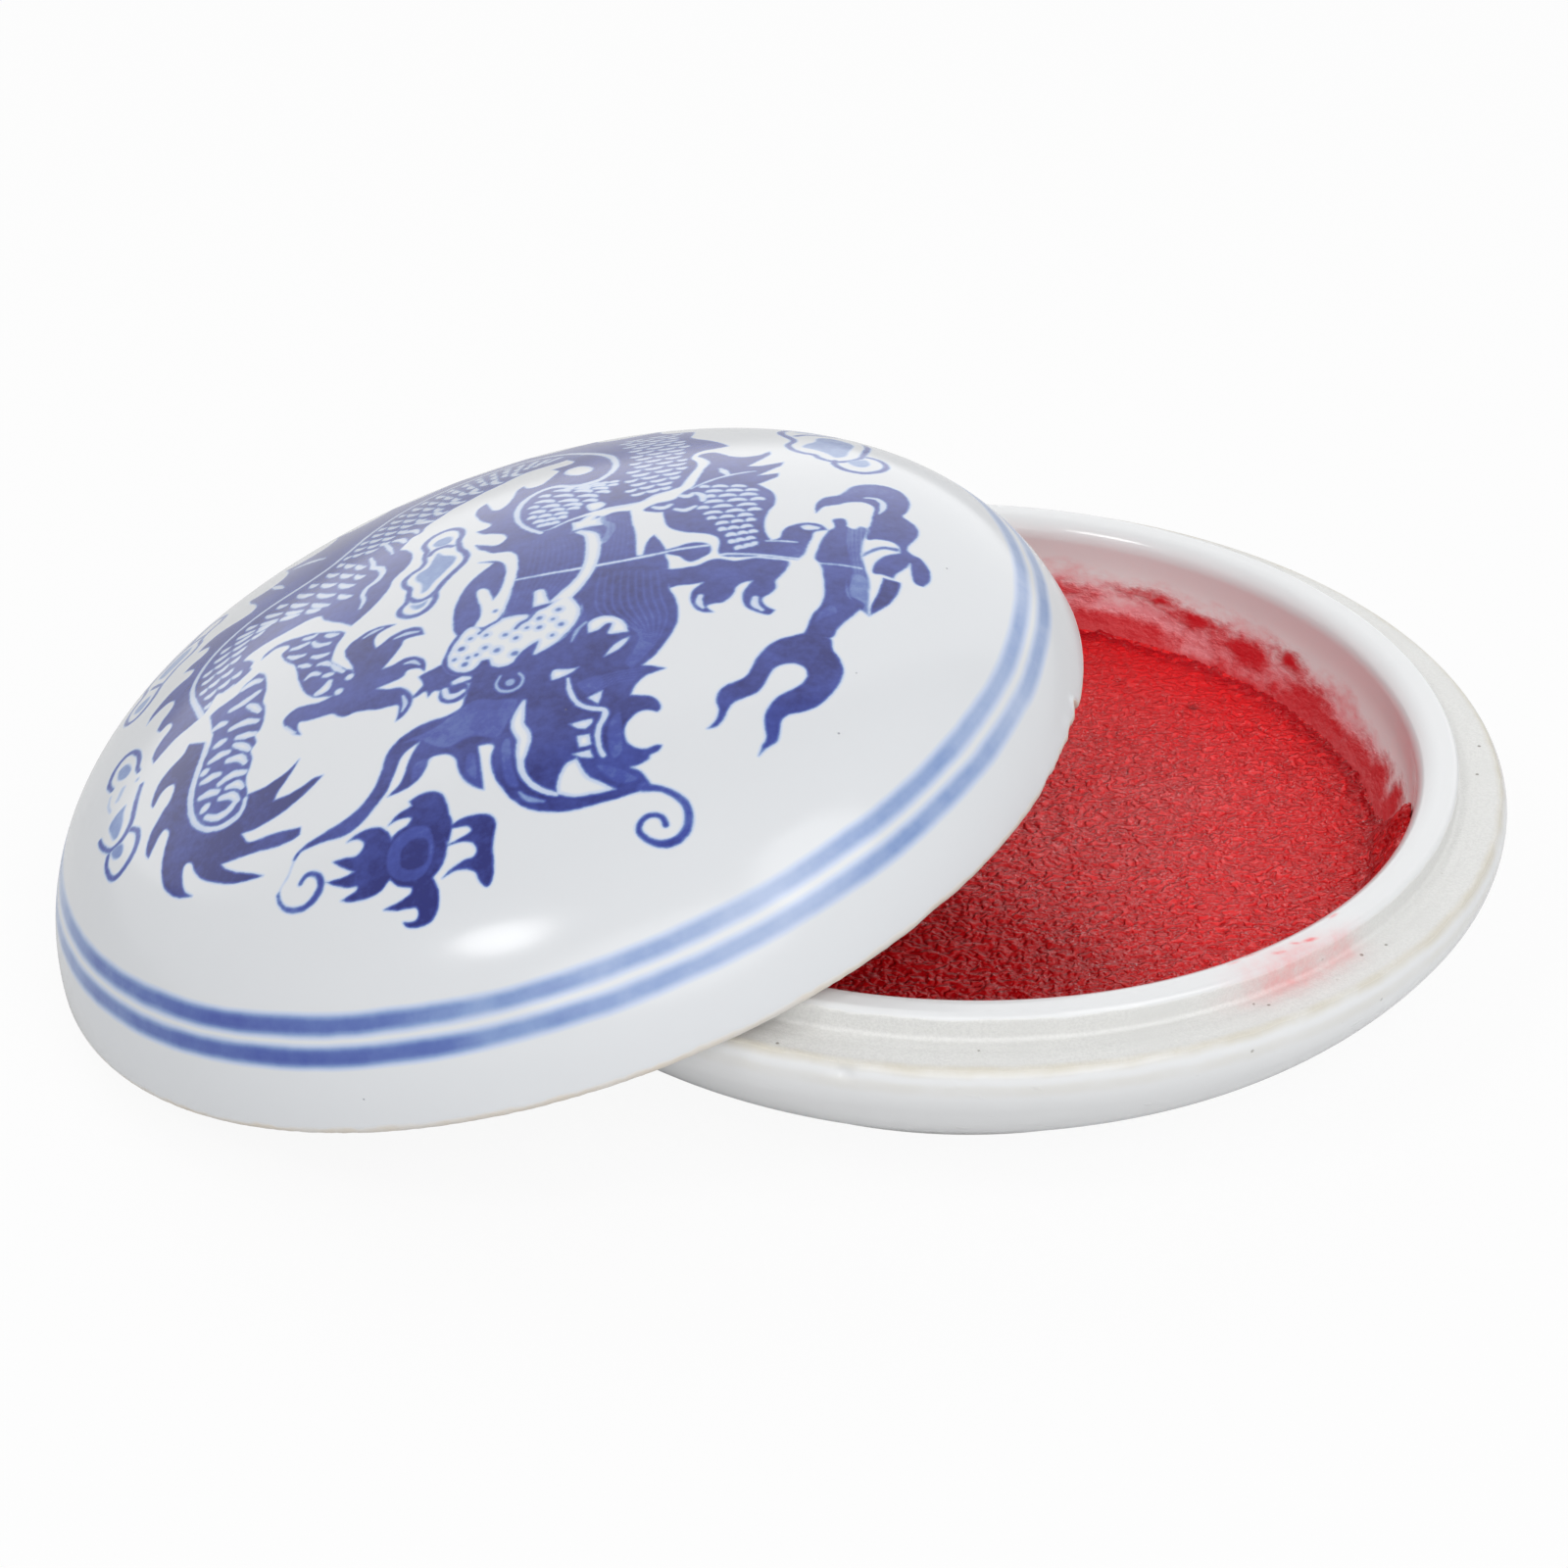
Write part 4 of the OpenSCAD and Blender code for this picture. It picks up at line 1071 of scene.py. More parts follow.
    # whiskers
    sheet.stroke(
        "12 -29.9, 13.2 -30.2, 14.2 -30.9, 14.9 -31.8, 15.1 -33, 14.8 -34.1, 14 -34.9, 13 -35.1, 12 -34.7,"
        "11.3 -33.8, 11.4 -33.1, 11.9 -32.6, 12.5 -32.5, 13.1 -32.8, 13.3 -33.5", 0.8, 0.55, 0.65, 0.7,
        0.75, 0.7, 0.55, 0.5, 0.45, 0.5, tone=0.8)
    sheet.stroke("-16.1 -27.3, -16.6 -28.3, -17.3 -29.1, -17.6 -29.9", 0.2, 0.15, 0.15, tone=0.3)
    sheet.stroke(
        "-17.6 -29.6, -17.5 -30.4, -17.1 -31.1, -16.4 -31.6, -15.4 -31.8, -14.5 -31.4, -13.9 -30.6,"
        "-13.9 -29.8, -14.3 -29.2, -15 -29, -15.6 -29.5", 0.3, 0.35, 0.5, 0.6, 0.7, 0.6, 0.5, 0.4,
        tone=0.75)


def paintLegs(sheet):
    # hind leg and its foot
    sheet.fill(
        "-19.9 0.2 *, -19.6 0.9, -18.6 1.35, -17.4 1.2, -16.2 0.7, -15.1 0.3, -14.1 -0.4, -13.1 -1,"
        "-12.3 -1.6, -11.8 -2.3, -12.3 -3.3, -12.6 -4.3, -12.8 -5.6, -12.2 -6.7, -11.4 -7.8, -10.8 -8.4,"
        "-10.7 -9.6, -12 -10.8, -13.3 -10.3, -14.2 -9.8, -14.9 -8.8, -15.4 -7.6, -15.8 -6.2, -16 -5,"
        "-16.3 -3.8, -17 -2.8, -17.6 -1.6, -17.8 -0.7, -17.2 -0.2, -17.5 0.4, -18.6 0.8, -19.4 0.5", 0.85)
    sheet.fill(
        "-11.6 -5 *, -11.2 -4.4, -10.6 -4, -9.8 -3.6, -8.9 -3.5, -8 -3.7, -7.2 -4.1 *, -8.2 -4.3,"
        "-8.9 -4.8, -9 -5.7, -8.8 -6.6 *, -8.2 -6.2, -7.6 -5.7, -6.6 -5.4, -5.6 -5.5, -4.9 -6, -4.6 -7.1 *,"
        "-5.4 -6.9, -6.3 -6.9, -6.6 -7.6, -7.2 -8.6, -8.1 -9.8 *, -7.2 -9.8, -6.2 -9.5, -5.4 -9.7,"
        "-4.7 -10.3, -4.4 -11.2, -4.5 -12 *, -5 -11.4, -5.9 -11.2, -6.3 -11.8, -7.2 -12, -8.5 -12.1 *,"
        "-7.6 -12.7, -6.6 -13, -5.9 -13.7, -5.5 -14.6, -5.6 -15.6, -6.2 -16.5, -6.9 -16.9 *, -6.7 -16,"
        "-6.7 -15.1, -7.4 -14.9, -8.4 -14.7, -9.4 -14.3, -10.4 -14, -11.3 -14, -11.9 -13.6, -12.4 -13,"
        "-13.4 -12.8, -14.6 -12.5, -15.4 -12.2, -15.5 -12.9, -15.2 -13.9 *, -15.9 -13.3, -16.6 -12.2,"
        "-16.9 -11.2, -16.6 -10.6, -15.8 -10.2, -14.8 -10.4, -13.6 -10.8, -12.4 -10.6, -11 -9.4,"
        "-10.7 -8.4, -11 -7.2, -11.5 -6", 0.9)
    for nail in (
            "-10 -4.3, -9.3 -4, -8.3 -3.9", "-7.2 -6.2, -6.2 -6.1, -5.1 -6.4",
            "-6.2 -10.2, -5.5 -10.3, -4.9 -11", "-6.3 -14.2, -6.1 -15.2, -6.4 -16",
            "-16.6 -12, -16.2 -12.8, -15.7 -13.3"):
        sheet.trace(nail, 0.3, 0.55, 0.25, tone=0.22)
    for scale in (
            "-16.9 -0.8, -16 -1.1, -15.3 -1.1", "-17.1 -1.8, -16.4 -2.5, -15.5 -2.8",
            "-15.8 0, -15 -0.4, -14.6 -0.3", "-14.8 -1.4, -14.3 -2.3, -13.2 -2.8",
            "-13.6 -1.2, -13 -1.7, -12.5 -1.9", "-15.9 -4.2, -15.3 -4.6, -14.8 -5",
            "-14.7 -3.7, -14 -4.2, -13.2 -4.4", "-14 -5.4, -13.4 -5.6, -12.9 -6.2",
            "-15.1 -6.7, -14.5 -6.4, -13.8 -6.9", "-12.7 -6.4, -12.2 -7.2, -11.6 -8",
            "-13.4 -7.4, -12.9 -7.6, -12.6 -7.7"):
        sheet.scratch(scale, 0.35, 0.6, 0.35)
    sheet.scratch("-13.9 -9.5, -13.2 -9.3, -12.8 -8.6", 0.6, 1, 0.6)
    sheet.lift(sheet.spot(-11, -9.1, 0.38))
    sheet.lift(sheet.spot(-11.9, -10.5, 0.38))
    # foreleg: fin, scales and foot
    sheet.fill(
        "17.2 9.2, 17.6 11.2, 18 13.2, 18.3 15, 17.9 16.4, 17.4 17.2, 17.7 17.9, 18.4 18.2, 19.1 17.9,"
        "19.6 17.2, 20.2 16.5, 21.2 16.1, 22.2 16.3, 22.9 16.9, 23.4 17.7 *, 23.5 16.8, 23 15.6, 22.4 14.6,"
        "21.6 13.3 *, 22.6 13.3, 23.6 13.7, 24.6 14.3 *, 24.4 13.3, 23.9 12.6, 23.2 11.7, 22.5 10.8 *,"
        "23.4 11, 24.2 11.3 *, 24.1 10.4, 23.5 9.7, 22.5 8.7 *, 23 8, 23.6 7, 23.9 5.8, 23.8 4.4, 23.3 3,"
        "23 1.6, 22.9 0, 23.1 -1.4, 23.3 -2.2, 22.6 -4.4, 19.4 -4.2, 19.3 -1.8, 18.9 -0.9, 18 -0.3,"
        "16.7 0.1, 15.7 0.8, 15.1 1.8, 14.9 3.2, 14.8 4.3 *, 14 4.5, 13.2 5.2, 14.2 6.2, 15.6 6.6, 16.4 8",
        0.85)
    sheet.scratch(
        "17.3 17, 17.9 15.8, 18.1 14.8, 17.7 13.4, 17.3 12, 16.9 10.6, 16.6 9.2", 0.3, 0.65, 0.65, 0.6, 0.7,
        0.9)
    sheet.scratch("19.4 13, 19.7 12.2, 20 11.4", 0.3, 0.7, 0.4)
    sheet.scratch("17.4 7.6, 18 6.8, 18 5.8", 0.4, 0.7, 0.4)
    scaleRows(
        sheet, "17.6 8.8, 18 6.4, 17.3 4, 18.6 1.4, 19.8 -1.6, 20.4 -3.4",
        "22.2 8.2, 23.2 6.2, 23.1 4, 22.4 1.6, 22.4 -1, 22.4 -2.6", 12, 3, 0.45, 0.58)
    for scale in ("14 5.5, 14.8 5.1, 15.4 5.6", "15.8 4.6, 16.6 4.2, 17.4 4.8", "16 7.4, 16.8 7, 17.2 7.6"):
        sheet.scratch(scale, 0.4, 0.7, 0.4)
    sheet.fill(
        "14.6 -5 *, 15.4 -5.5, 16.6 -5.5, 17.6 -5.3, 18.3 -4.8, 19 -4.6, 19.7 -4.8, 20.4 -5.1, 21.2 -5,"
        "22.2 -4.8, 23.2 -5.1, 24.6 -5.5, 24.4 -6.6, 23.9 -7.6, 23.5 -8.3, 23.5 -9.1, 23.1 -9.9,"
        "22.5 -10.4, 22.3 -10.9, 22.5 -11.5, 23.2 -12.2 *, 22.8 -12.7, 22.2 -12.6, 21.6 -12.2, 21 -11.6,"
        "20.8 -10.6, 20.9 -9.6, 21.3 -8.8, 21.7 -8.1 *, 21 -8.3, 20.4 -8.9, 20.2 -9.6, 19.9 -10.2,"
        "19.3 -10.8, 18.6 -10.9, 18 -11.2, 18.5 -12 *, 17.8 -11.9, 17.1 -11.3, 16.8 -10.2, 16.9 -9.2,"
        "17.2 -8.6, 17.9 -7.9 *, 17 -8, 16 -8, 15.2 -8.2 *", 0.9)
    sheet.scratch("17.6 -9.7, 17.4 -10.5, 17.7 -11.3", 0.4, 0.6, 0.3)
    sheet.scratch("21.8 -10.5, 21.7 -11.3, 22.2 -12.1", 0.5, 0.65, 0.3)
    sheet.fill(
        "14.9 -2.5 *, 15.8 -2.2, 16.7 -1.8, 17.6 -1.75, 18.3 -2.1, 18.6 -2.8, 18.5 -3.6, 17.9 -4.2,"
        "17.1 -4.8, 16.5 -4.4, 16.1 -3.7, 15.2 -3.2", 0.85)
    sheet.bare("15.2 -3.5 *, 16 -3.8, 16.4 -4.6, 16.6 -5.2 *, 15.4 -5.3")
    sheet.fill(
        "22.4 -2.2, 23.4 -2.1, 24.1 -1.7, 24.3 -0.7, 24.9 0.2, 26.2 0.8, 27.4 0.5, 27.9 -0.4 *, 26.9 -0.8,"
        "26.6 -1.9, 26.2 -3.2, 25.9 -4.4, 25.3 -5.3 *, 23.8 -4.9, 22.4 -4.4", 0.85)
    sheet.bare("25.8 0.2, 26.5 0.4, 27.3 0, 27 -0.4, 26.1 -0.4")
    # the far foot, blurred in the firing
    sheet.fill(
        "27.1 2.6 *, 27.1 3.9, 27.4 5, 28 5.8, 29 6.3, 29.6 7.2, 30.1 8.2, 31 8.9, 32.1 9.15, 33.3 8.8,"
        "34.2 7.9, 34.7 6.6, 34.8 5.2, 34.5 3.8, 34.1 2.8, 34.5 2.1, 35.05 1.2, 35.2 0, 34.9 -1.2,"
        "34.3 -2.3, 34.1 -3.1, 34.4 -3.7, 35.1 -4.4, 35.55 -5.5, 35.7 -6.7, 35.5 -7.8, 35 -8.5 *,"
        "34.4 -8.2, 34.2 -7.2, 34.2 -6.2, 34.2 -5.2 *, 33.8 -6, 33 -7, 32.7 -7.7 *, 31.9 -7.2, 31.15 -7,"
        "31.3 -5.8, 31.8 -4.8, 32.6 -4.1, 33.5 -3.7 *, 33.4 -2.6, 32.8 -1.9, 31.8 -1.7, 31 -1.8, 30.9 -0.6,"
        "31.4 0.8, 31.6 2.2 *, 31.8 3.2, 31.8 4.2, 31.4 4.8, 30.8 5.1, 29.8 4.9, 29 4.4, 28.3 4.1,"
        "27.7 3.8", 0.85)
    sheet.scratch("31.2 6, 32.1 5.9, 32.6 5, 32.5 3.8, 32.2 3", 0.2, 0.5, 0.5, 0.2)
    sheet.stroke("33.2 -3.2, 32.2 -3.05, 31.3 -3.6, 30.4 -4.6", 0.6, 0.45, 0.4, 0.2, tone=0.7)
    sheet.fill(
        "31.9 -7.7 *, 33.2 -8.2 *, 33.1 -9, 32.7 -10.2, 32 -11.4, 31.2 -12.2, 30.5 -12.9 *, 30.6 -11.8,"
        "31 -10.8, 31.4 -9.6, 31.7 -8.6", 0.95)
    sheet.fill(
        "28.4 -0.2, 29.2 0.5, 30 -0.1, 30.6 0.4, 31.2 -0.2, 30.8 -1.6, 30.4 -4, 30.6 -6.4, 30.8 -8.4,"
        "30.6 -10.6, 30.4 -13 *, 29.7 -12, 29 -10.4, 28.8 -6, 28.8 -2", 0.5)
    comb(sheet, "29.5 0, 29.4 -4, 29.6 -9", "31 0, 30.7 -4, 30.6 -10", 4, 0.3, 0.72)
    sheet.fill(
        "28.4 1.4, 29.2 1.7, 29.5 1, 29.3 -1, 29.2 -3, 29.3 -5, 29.4 -7, 29 -9, 29 -10.4, 29.6 -11,"
        "30 -11.5, 29.6 -12.4, 29 -13.2, 28.4 -13.9, 27.8 -14.8, 27.2 -15.8, 25 -15.6 *, 25.5 -14.6,"
        "25.8 -13.6, 26.1 -12.8, 26.7 -11.8, 27.1 -10.4, 27.2 -9, 27.2 -7, 27 -5.8, 26.7 -5, 27 -3.6,"
        "27.4 -2, 28 -0.6, 28.5 0.2", 0.88)
    sheet.shade("29.6 -7.4, 30.6 -8, 30.6 -11, 29.8 -10.4", 0.5)
    sheet.shade("27.6 -11.6, 26.6 -12.6, 26.2 -13.8, 27 -13.2, 28 -12.6", 0.7)


def paintScarf(sheet):
    sheet.fill(
        "25.4 -15.2, 24.3 -15.5, 23.2 -15.9, 22.2 -16.8, 21.5 -17.8, 21 -19, 20.5 -19.9, 19.8 -20.3,"
        "18.9 -20.7, 18.3 -21.4, 18.1 -22.3, 18.2 -23.2, 18 -24, 17.6 -24.6, 17.2 -25 *, 17.9 -24.9,"
        "18.5 -24.2, 18.9 -23.3, 19.4 -22.6, 20.4 -22.1, 21.2 -21.7, 21.8 -20.9, 22.2 -20, 22.8 -19.1,"
        "23.6 -18.7, 24.5 -18.8, 25.1 -19.4, 25.1 -20.2, 24.6 -21, 23.6 -21.7, 22.7 -22.3, 22 -23.2,"
        "21.6 -24.2, 21.5 -25.4, 21.5 -26.4, 21.1 -27.2, 20.8 -28.1 *, 21.5 -27.4, 22.3 -26.8, 22.6 -25.8,"
        "22.8 -24.8, 23.4 -24.2, 24.6 -23.9, 25.6 -23.4, 26.6 -22.4, 27.4 -21.2, 27.9 -19.8, 27.8 -18.4,"
        "27.3 -17.1, 27.2 -15.8", 0.95)


def paintPearl(sheet):
    for flame in (
            "-8 -28 *, -8.6 -27.3, -9.6 -27, -10.6 -27.1, -11.4 -27.5 *, -10.6 -27.6, -10.1 -28,"
            "-10.1 -28.6, -10.8 -29.1, -11.7 -28.9, -12.7 -28.8 *, -12.2 -29.4, -11.6 -30, -11 -30.5 *,"
            "-12 -30.6, -13.4 -30.4 *, -12.6 -31.1, -11.6 -31.7, -10.9 -31.9, -11.1 -32.3, -12.3 -32.6 *,"
            "-11.6 -33, -10.3 -33.3, -9.2 -33.2, -8.4 -32.6, -7 -31",
            "-7.9 -27.4 *, -7.1 -26.7, -5.9 -26.3 *, -6.1 -25.8 *, -5.3 -25.5, -4.4 -25.5, -3.5 -26,"
            "-3.1 -27, -2.95 -28.2, -2.8 -29.3, -3.3 -30.8, -4.2 -29.6, -5.4 -28.6, -6.6 -28.2 *, -6 -27.5,"
            "-6.9 -27.2",
            "-3.2 -29.6 *, -2.4 -29.1, -1.4 -28.95, -0.4 -29.1, 0.3 -29.5, 0.6 -30.3, 0.35 -31.4,"
            "0.15 -32.5, 0.1 -33.8, 0 -34.6, -0.3 -35.4, -0.7 -35.6, -1.2 -34.9, -1.4 -34.1, -2 -33.7,"
            "-3 -33.5, -4 -33.8 *, -3.2 -33.2, -2.2 -32.8, -1.4 -32.7, -1.1 -32.2, -1.4 -31.5, -2.2 -31.1,"
            "-3.5 -31.1 *, -2.2 -30.7, -1.4 -30.4, -1.6 -29.9, -2.4 -29.7",
            "-6.3 -33.3, -6.6 -34.2, -7.6 -34.6, -8.9 -34.8 *, -8 -35.2, -7 -35.4, -6.3 -35.6, -6.2 -36.2,"
            "-6.6 -36.6, -7.5 -36.4 *, -7.2 -36.9, -6.2 -37.2, -5.2 -37, -4.6 -36.2, -4.4 -35.2,"
            "-4.5 -34.2, -5 -33.3"):
        sheet.fill(flame, 1.0)
    sheet.fill(
        "-8.6 -31, -8.3 -29.4, -7.2 -28.3, -5.8 -28, -4.4 -28.6, -3.5 -29.8, -3.4 -31.4, -4 -32.8,"
        "-5.2 -33.7, -6.6 -33.7, -7.9 -32.8", 1.0)
    sheet.shade(
        "-8.3 -31, -7.9 -29.5, -6.8 -28.5, -5.6 -28.4, -4.6 -29, -4.4 -30.6, -4.7 -32, -5.6 -33.1,"
        "-6.8 -33.1, -7.9 -32.3", 0.74)
    sheet.shade("-7.2 -31, -6.9 -30, -6 -29.5, -5 -29.8, -4.8 -31, -5.2 -32, -6.2 -32.2, -7 -31.8", 1.0)


def cloud(sheet, rings, fills, tone=0.75):
    for ring in rings:
        sheet.stroke(ring, 0.55, 0.62, 0.5, tone=tone)
    for fill in fills:
        sheet.fill(fill, 0.55 * tone)


def paintClouds(sheet):
    cloud(sheet, (
        "-5.3 7.3, -5.7 8.8, -5.2 10.1, -4.2 10.7, -3.2 10.5, -2.5 9.6, -2.3 8.4, -2.5 7.4, -2.4 6.4,"
        "-2.2 5.4, -1.8 4.6, -1.5 3.6, -1.7 2.6, -2.2 1.8, -2.9 0.8, -3.5 -0.2, -3.9 -1.2, -3.9 -2.2,"
        "-4.3 -3.2, -5.2 -3.8, -6.2 -3.6, -6.9 -2.8, -6.9 -2, -6.4 -1.2, -6.3 0, -6.3 0.9, -6.8 1.8,"
        "-6.9 2.8, -6.4 3.6, -5.6 4.2, -5.3 5, -5.4 6.2, -5.3 7.3", "-5 6.2, -4.6 6.9, -3.8 7.1, -3 6.6",
        "-6.3 -0.6, -5.7 -1.4, -5 -1.7, -4.3 -1.4, -3.8 -0.7"), (
        "-4.9 8.2, -4.5 9, -3.6 9.1, -3.1 8.3, -3.4 7.5, -4.3 7.4",
        "-4.3 6.1, -3.6 5.2, -2.6 4.4, -2.5 3.4, -3.1 2.2, -4 0.9, -4.6 -0.3, -5.2 -0.5, -5.3 1, -5.9 2.2,"
        "-5.8 3.2, -4.9 3.9", "-6.1 -1.9, -5.2 -2.2, -4.5 -1.9, -4.8 -2.8, -5.6 -2.9"))
    cloud(sheet, (
        "-35.1 -5.2, -35.6 -4, -35.4 -2.6, -34.8 -1.5, -34 -1.1, -33.2 -1.4, -32.5 -2.4, -32.2 -3.6,"
        "-32.2 -4.8, -32 -5.5",
        "-31.4 -8, -31.7 -9.5, -31.9 -11, -32.1 -12.2, -32.6 -13.2, -33.4 -13.8, -34.3 -13.8, -35 -13.2,"
        "-35.6 -12.2, -35.9 -11.3",
        "-32 -13.2, -31.3 -14, -31.2 -15.2, -31.6 -16.3, -32.4 -17.1, -33.4 -17.5, -34.2 -17.2,"
        "-34.7 -16.2, -34.9 -15.2, -34.7 -14.2"), (
        "-34.7 -3, -34 -2.6, -33.3 -3.2, -33 -4.4, -33.6 -5, -34.5 -4.4",
        "-33 -9.2, -34.2 -9.8, -34.8 -10.6, -34.5 -11.8, -34.1 -12.8, -33.5 -12.8, -33.1 -11.6,"
        "-33.1 -10.2", "-34.2 -14.1, -33 -14.1, -32.8 -15, -33.2 -15.6, -34 -15.2"), 0.8)
    sheet.stroke("-35.1 -6.2, -35.2 -7.4, -34.8 -8.6", 0.3, 0.3, tone=0.25)
    sheet.stroke("-33.6 -6.4, -34.1 -7.6", 0.6, 0.6, tone=0.25)
    sheet.lay(sheet.spot(-32, -6.7, 0.25), 0.35)
    cloud(sheet, (
        "-32.3 9.4, -32.7 7.8, -33.4 6.4, -34.4 5.7, -35.4 6, -35.9 7.2, -35.8 8.6, -35.2 9.8, -34.6 11,"
        "-34.8 12.4, -34.2 13.8, -33.2 14.4, -32.4 15.8, -31 16.8, -30.4 18.2, -29.4 19.6, -28.2 19.8,"
        "-27.4 19, -27.6 17.8, -28.6 16.8, -29.2 15.4, -29 14.2, -29.6 12.8, -30.8 11.8, -31.6 10.6,"
        "-32.3 9.4", "-33.6 10.8, -32.8 10.2, -32.2 9.6", "-30.6 16.6, -29.8 16.6, -29 16.4"), (
        "-34.8 8.6, -35 7.4, -34.2 6.8, -33.4 7.8, -33.4 9",
        "-33.4 12.6, -32.6 11.6, -31.2 12.6, -30.2 14, -30.2 15.4, -31.4 15.4, -32.6 14"), 0.7)
    cloud(sheet, (
        "28.9 14.9, 28.9 13.9, 29.4 12.9, 30.3 12.1, 31.4 11.9, 32.6 12.6, 33.2 13.8, 33.1 15.1, 32.5 16.1,"
        "31.7 16.6",
        "31.3 16.9, 31.6 18.6, 31.8 20.4, 31.7 22.2, 31.1 24, 30 25.4, 29.6 27, 28.2 28, 26.6 27.8,"
        "25 27.6, 24.3 26.4, 24.3 25, 24.8 23.6, 25.3 22.4, 25.4 21.4, 25 20.2, 25.1 19, 25.6 17.9,"
        "26.4 17.1, 27.2 16.6, 27.6 15.7, 28.4 14.9, 29.4 14.7, 30.4 15.2, 31.1 16.1, 31.3 16.9",
        "25.6 24, 26.6 24.8, 28 24.8, 29.4 25.2"), (
        "30 14.7, 30.6 13.6, 31.4 13.5, 31.9 14.4, 31.6 15.6, 30.9 15.5",
        "26.2 19.2, 26.5 20.4, 27.2 21.4, 27.4 23, 28.4 23.6, 29.8 22.6, 30.6 21, 30.4 19.2, 30.1 17.6,"
        "29.8 16.4, 29 15.9, 28.4 16.9, 27.4 18.2", "25.4 26, 26.4 26, 28 26.2, 27.6 27, 26.2 27"), 0.75)


def paintWear(sheet):
    # hairline scratches that show the glaze under the cobalt
    for scratch, width in (
            ("2.7 -2.9, 5 -3.1, 8 -3.3, 11 -3.3, 14 -3, 16 -2.6, 18.4 -2.4", 0.36),
            ("16.6 -5.1, 17.8 -4.5, 18.6 -4.2, 20 -4, 22 -4.3, 24 -4.8, 25.6 -5.2", 0.32),
            ("17 8.6, 18.4 10, 19.8 11, 21.4 11.7, 22.2 11.9", 0.3),
            ("23 -2.2, 24.2 -2.3, 25.4 -2.5", 0.22), ("27 -5.8, 28.6 -6, 30.2 -6.4", 0.2)):
        sheet.scratch(scratch, 0.6 * width, width, 0.7 * width)


def paintDragon():
    sheet = Sheet(half=38.5, pitch=0.1)
    for part in (
            paintBody, paintNeck, paintMane, paintTail, paintHead, paintLegs, paintScarf, paintPearl,
            paintClouds, paintWear):
        part(sheet)
    return sheet


# Lid

lid = {
    "wallBack": 0.7,
    "rimLean": 7.0,
    "shoulder": 17.3,
    "crownFrom": 66.0,
    "rimRound": 0.6,
    "fit": 0.4,
    "shift": 32.4,
    "restGap": 0.3,
    "pitch": 0.14,
    "painted": 38.8,  # the dragon lies inside this distance from the top, measured over the dome
    "glaze": (0.70, 0.718, 0.742),
    "bands": (44.3, 46.6),
    "bandHalf": 0.8,
    "load": (  # angle, half width, how much fuller the brush is there, and the course from which that holds
        (-118, 22, 0.75, 0), (-150, 18, 0.3, 0), (-100, 5, 0.35, 45.4)),
    "cobalt": (  # the glaze's colour over weak to strong cobalt
        (0.15, (0.50, 0.58, 0.75)), (0.35, (0.22, 0.32, 0.57)), (0.5, (0.10, 0.16, 0.43)),
        (0.7, (0.035, 0.058, 0.32)), (1.0, (0.004, 0.009, 0.15))),
    "rimClay": (0.66, 0.60, 0.52),
    "pinhole": (0.12, 0.12, 0.2),
    "paintedTo": 53.0,  # angle on the shoulder beyond which the points lie further apart
    "tiltGuess": 15.0,
    "tiltSteps": 12,
    "chips": (
        (-14.8, 1.0, 0.95), (-17.5, 2.2, 0.6), (-22, 2.6, 0.5), (-26, 2, 0.35), (4, 1.5, 0.25),
        (-48, 2, 0.2)),
}


def lidSizes(s):
    z = baseSizes(base)
    out = {"radius": base["width"] / 2 - s["wallBack"]}
    out["thick"] = out["radius"] - z["lipRadius"] - s["fit"]
    out["centre"] = np.array([out["radius"], 0]) - s["shoulder"] * unit(s["rimLean"])
    crownEnd = out["centre"] + s["shoulder"] * unit(s["crownFrom"])
    out["crown"] = crownEnd[0] / math.cos(math.radians(s["crownFrom"]))
    out["crownCentre"] = np.array([0, crownEnd[1] - out["crown"] * math.sin(math.radians(s["crownFrom"]))])
    rise = s["rimRound"] - out["centre"][1]
    for side, reach in (
            ("rimOut", s["shoulder"] - s["rimRound"]),
            ("rimIn", s["shoulder"] - out["thick"] + s["rimRound"])):
        out[side] = np.array([out["centre"][0] + math.sqrt(reach ** 2 - rise ** 2), s["rimRound"]])
        out[side + "Turn"] = math.degrees(math.asin(rise / reach))
    return out


def restingTilt(s, z):
    # the tilt at which the rim's low edge is on the table and its inner round rests on the bowl's lip
    b = baseSizes(base)
    lipRound = base["lipOuterRound"]
    lipCircle = b["lipRadius"] - lipRound
    tilt = math.radians(s["tiltGuess"])
    for _ in range(s["tiltSteps"]):
        c = s["shift"] ** 2 + z["rimIn"][0] ** 2 - lipCircle ** 2
        d = s["shift"] * math.cos(tilt)
        u = c / (d + math.sqrt(d * d + c * math.sin(tilt) ** 2))
        v = math.sqrt(z["rimIn"][0] ** 2 - u * u)
        alongLip = (-v, u * math.cos(tilt) - s["shift"], 0)
        alongRim = (-v * math.cos(tilt), u, -v * math.sin(tilt))
        square = np.cross(alongLip, alongRim)
        stack = (s["rimRound"] + lipRound + s["restGap"]) * np.linalg.norm(square) / abs(square[2])
        tilt = math.asin((b["lipTop"] - lipRound + stack - s["rimRound"]) / (z["rimOut"][0] + u))
    return tilt


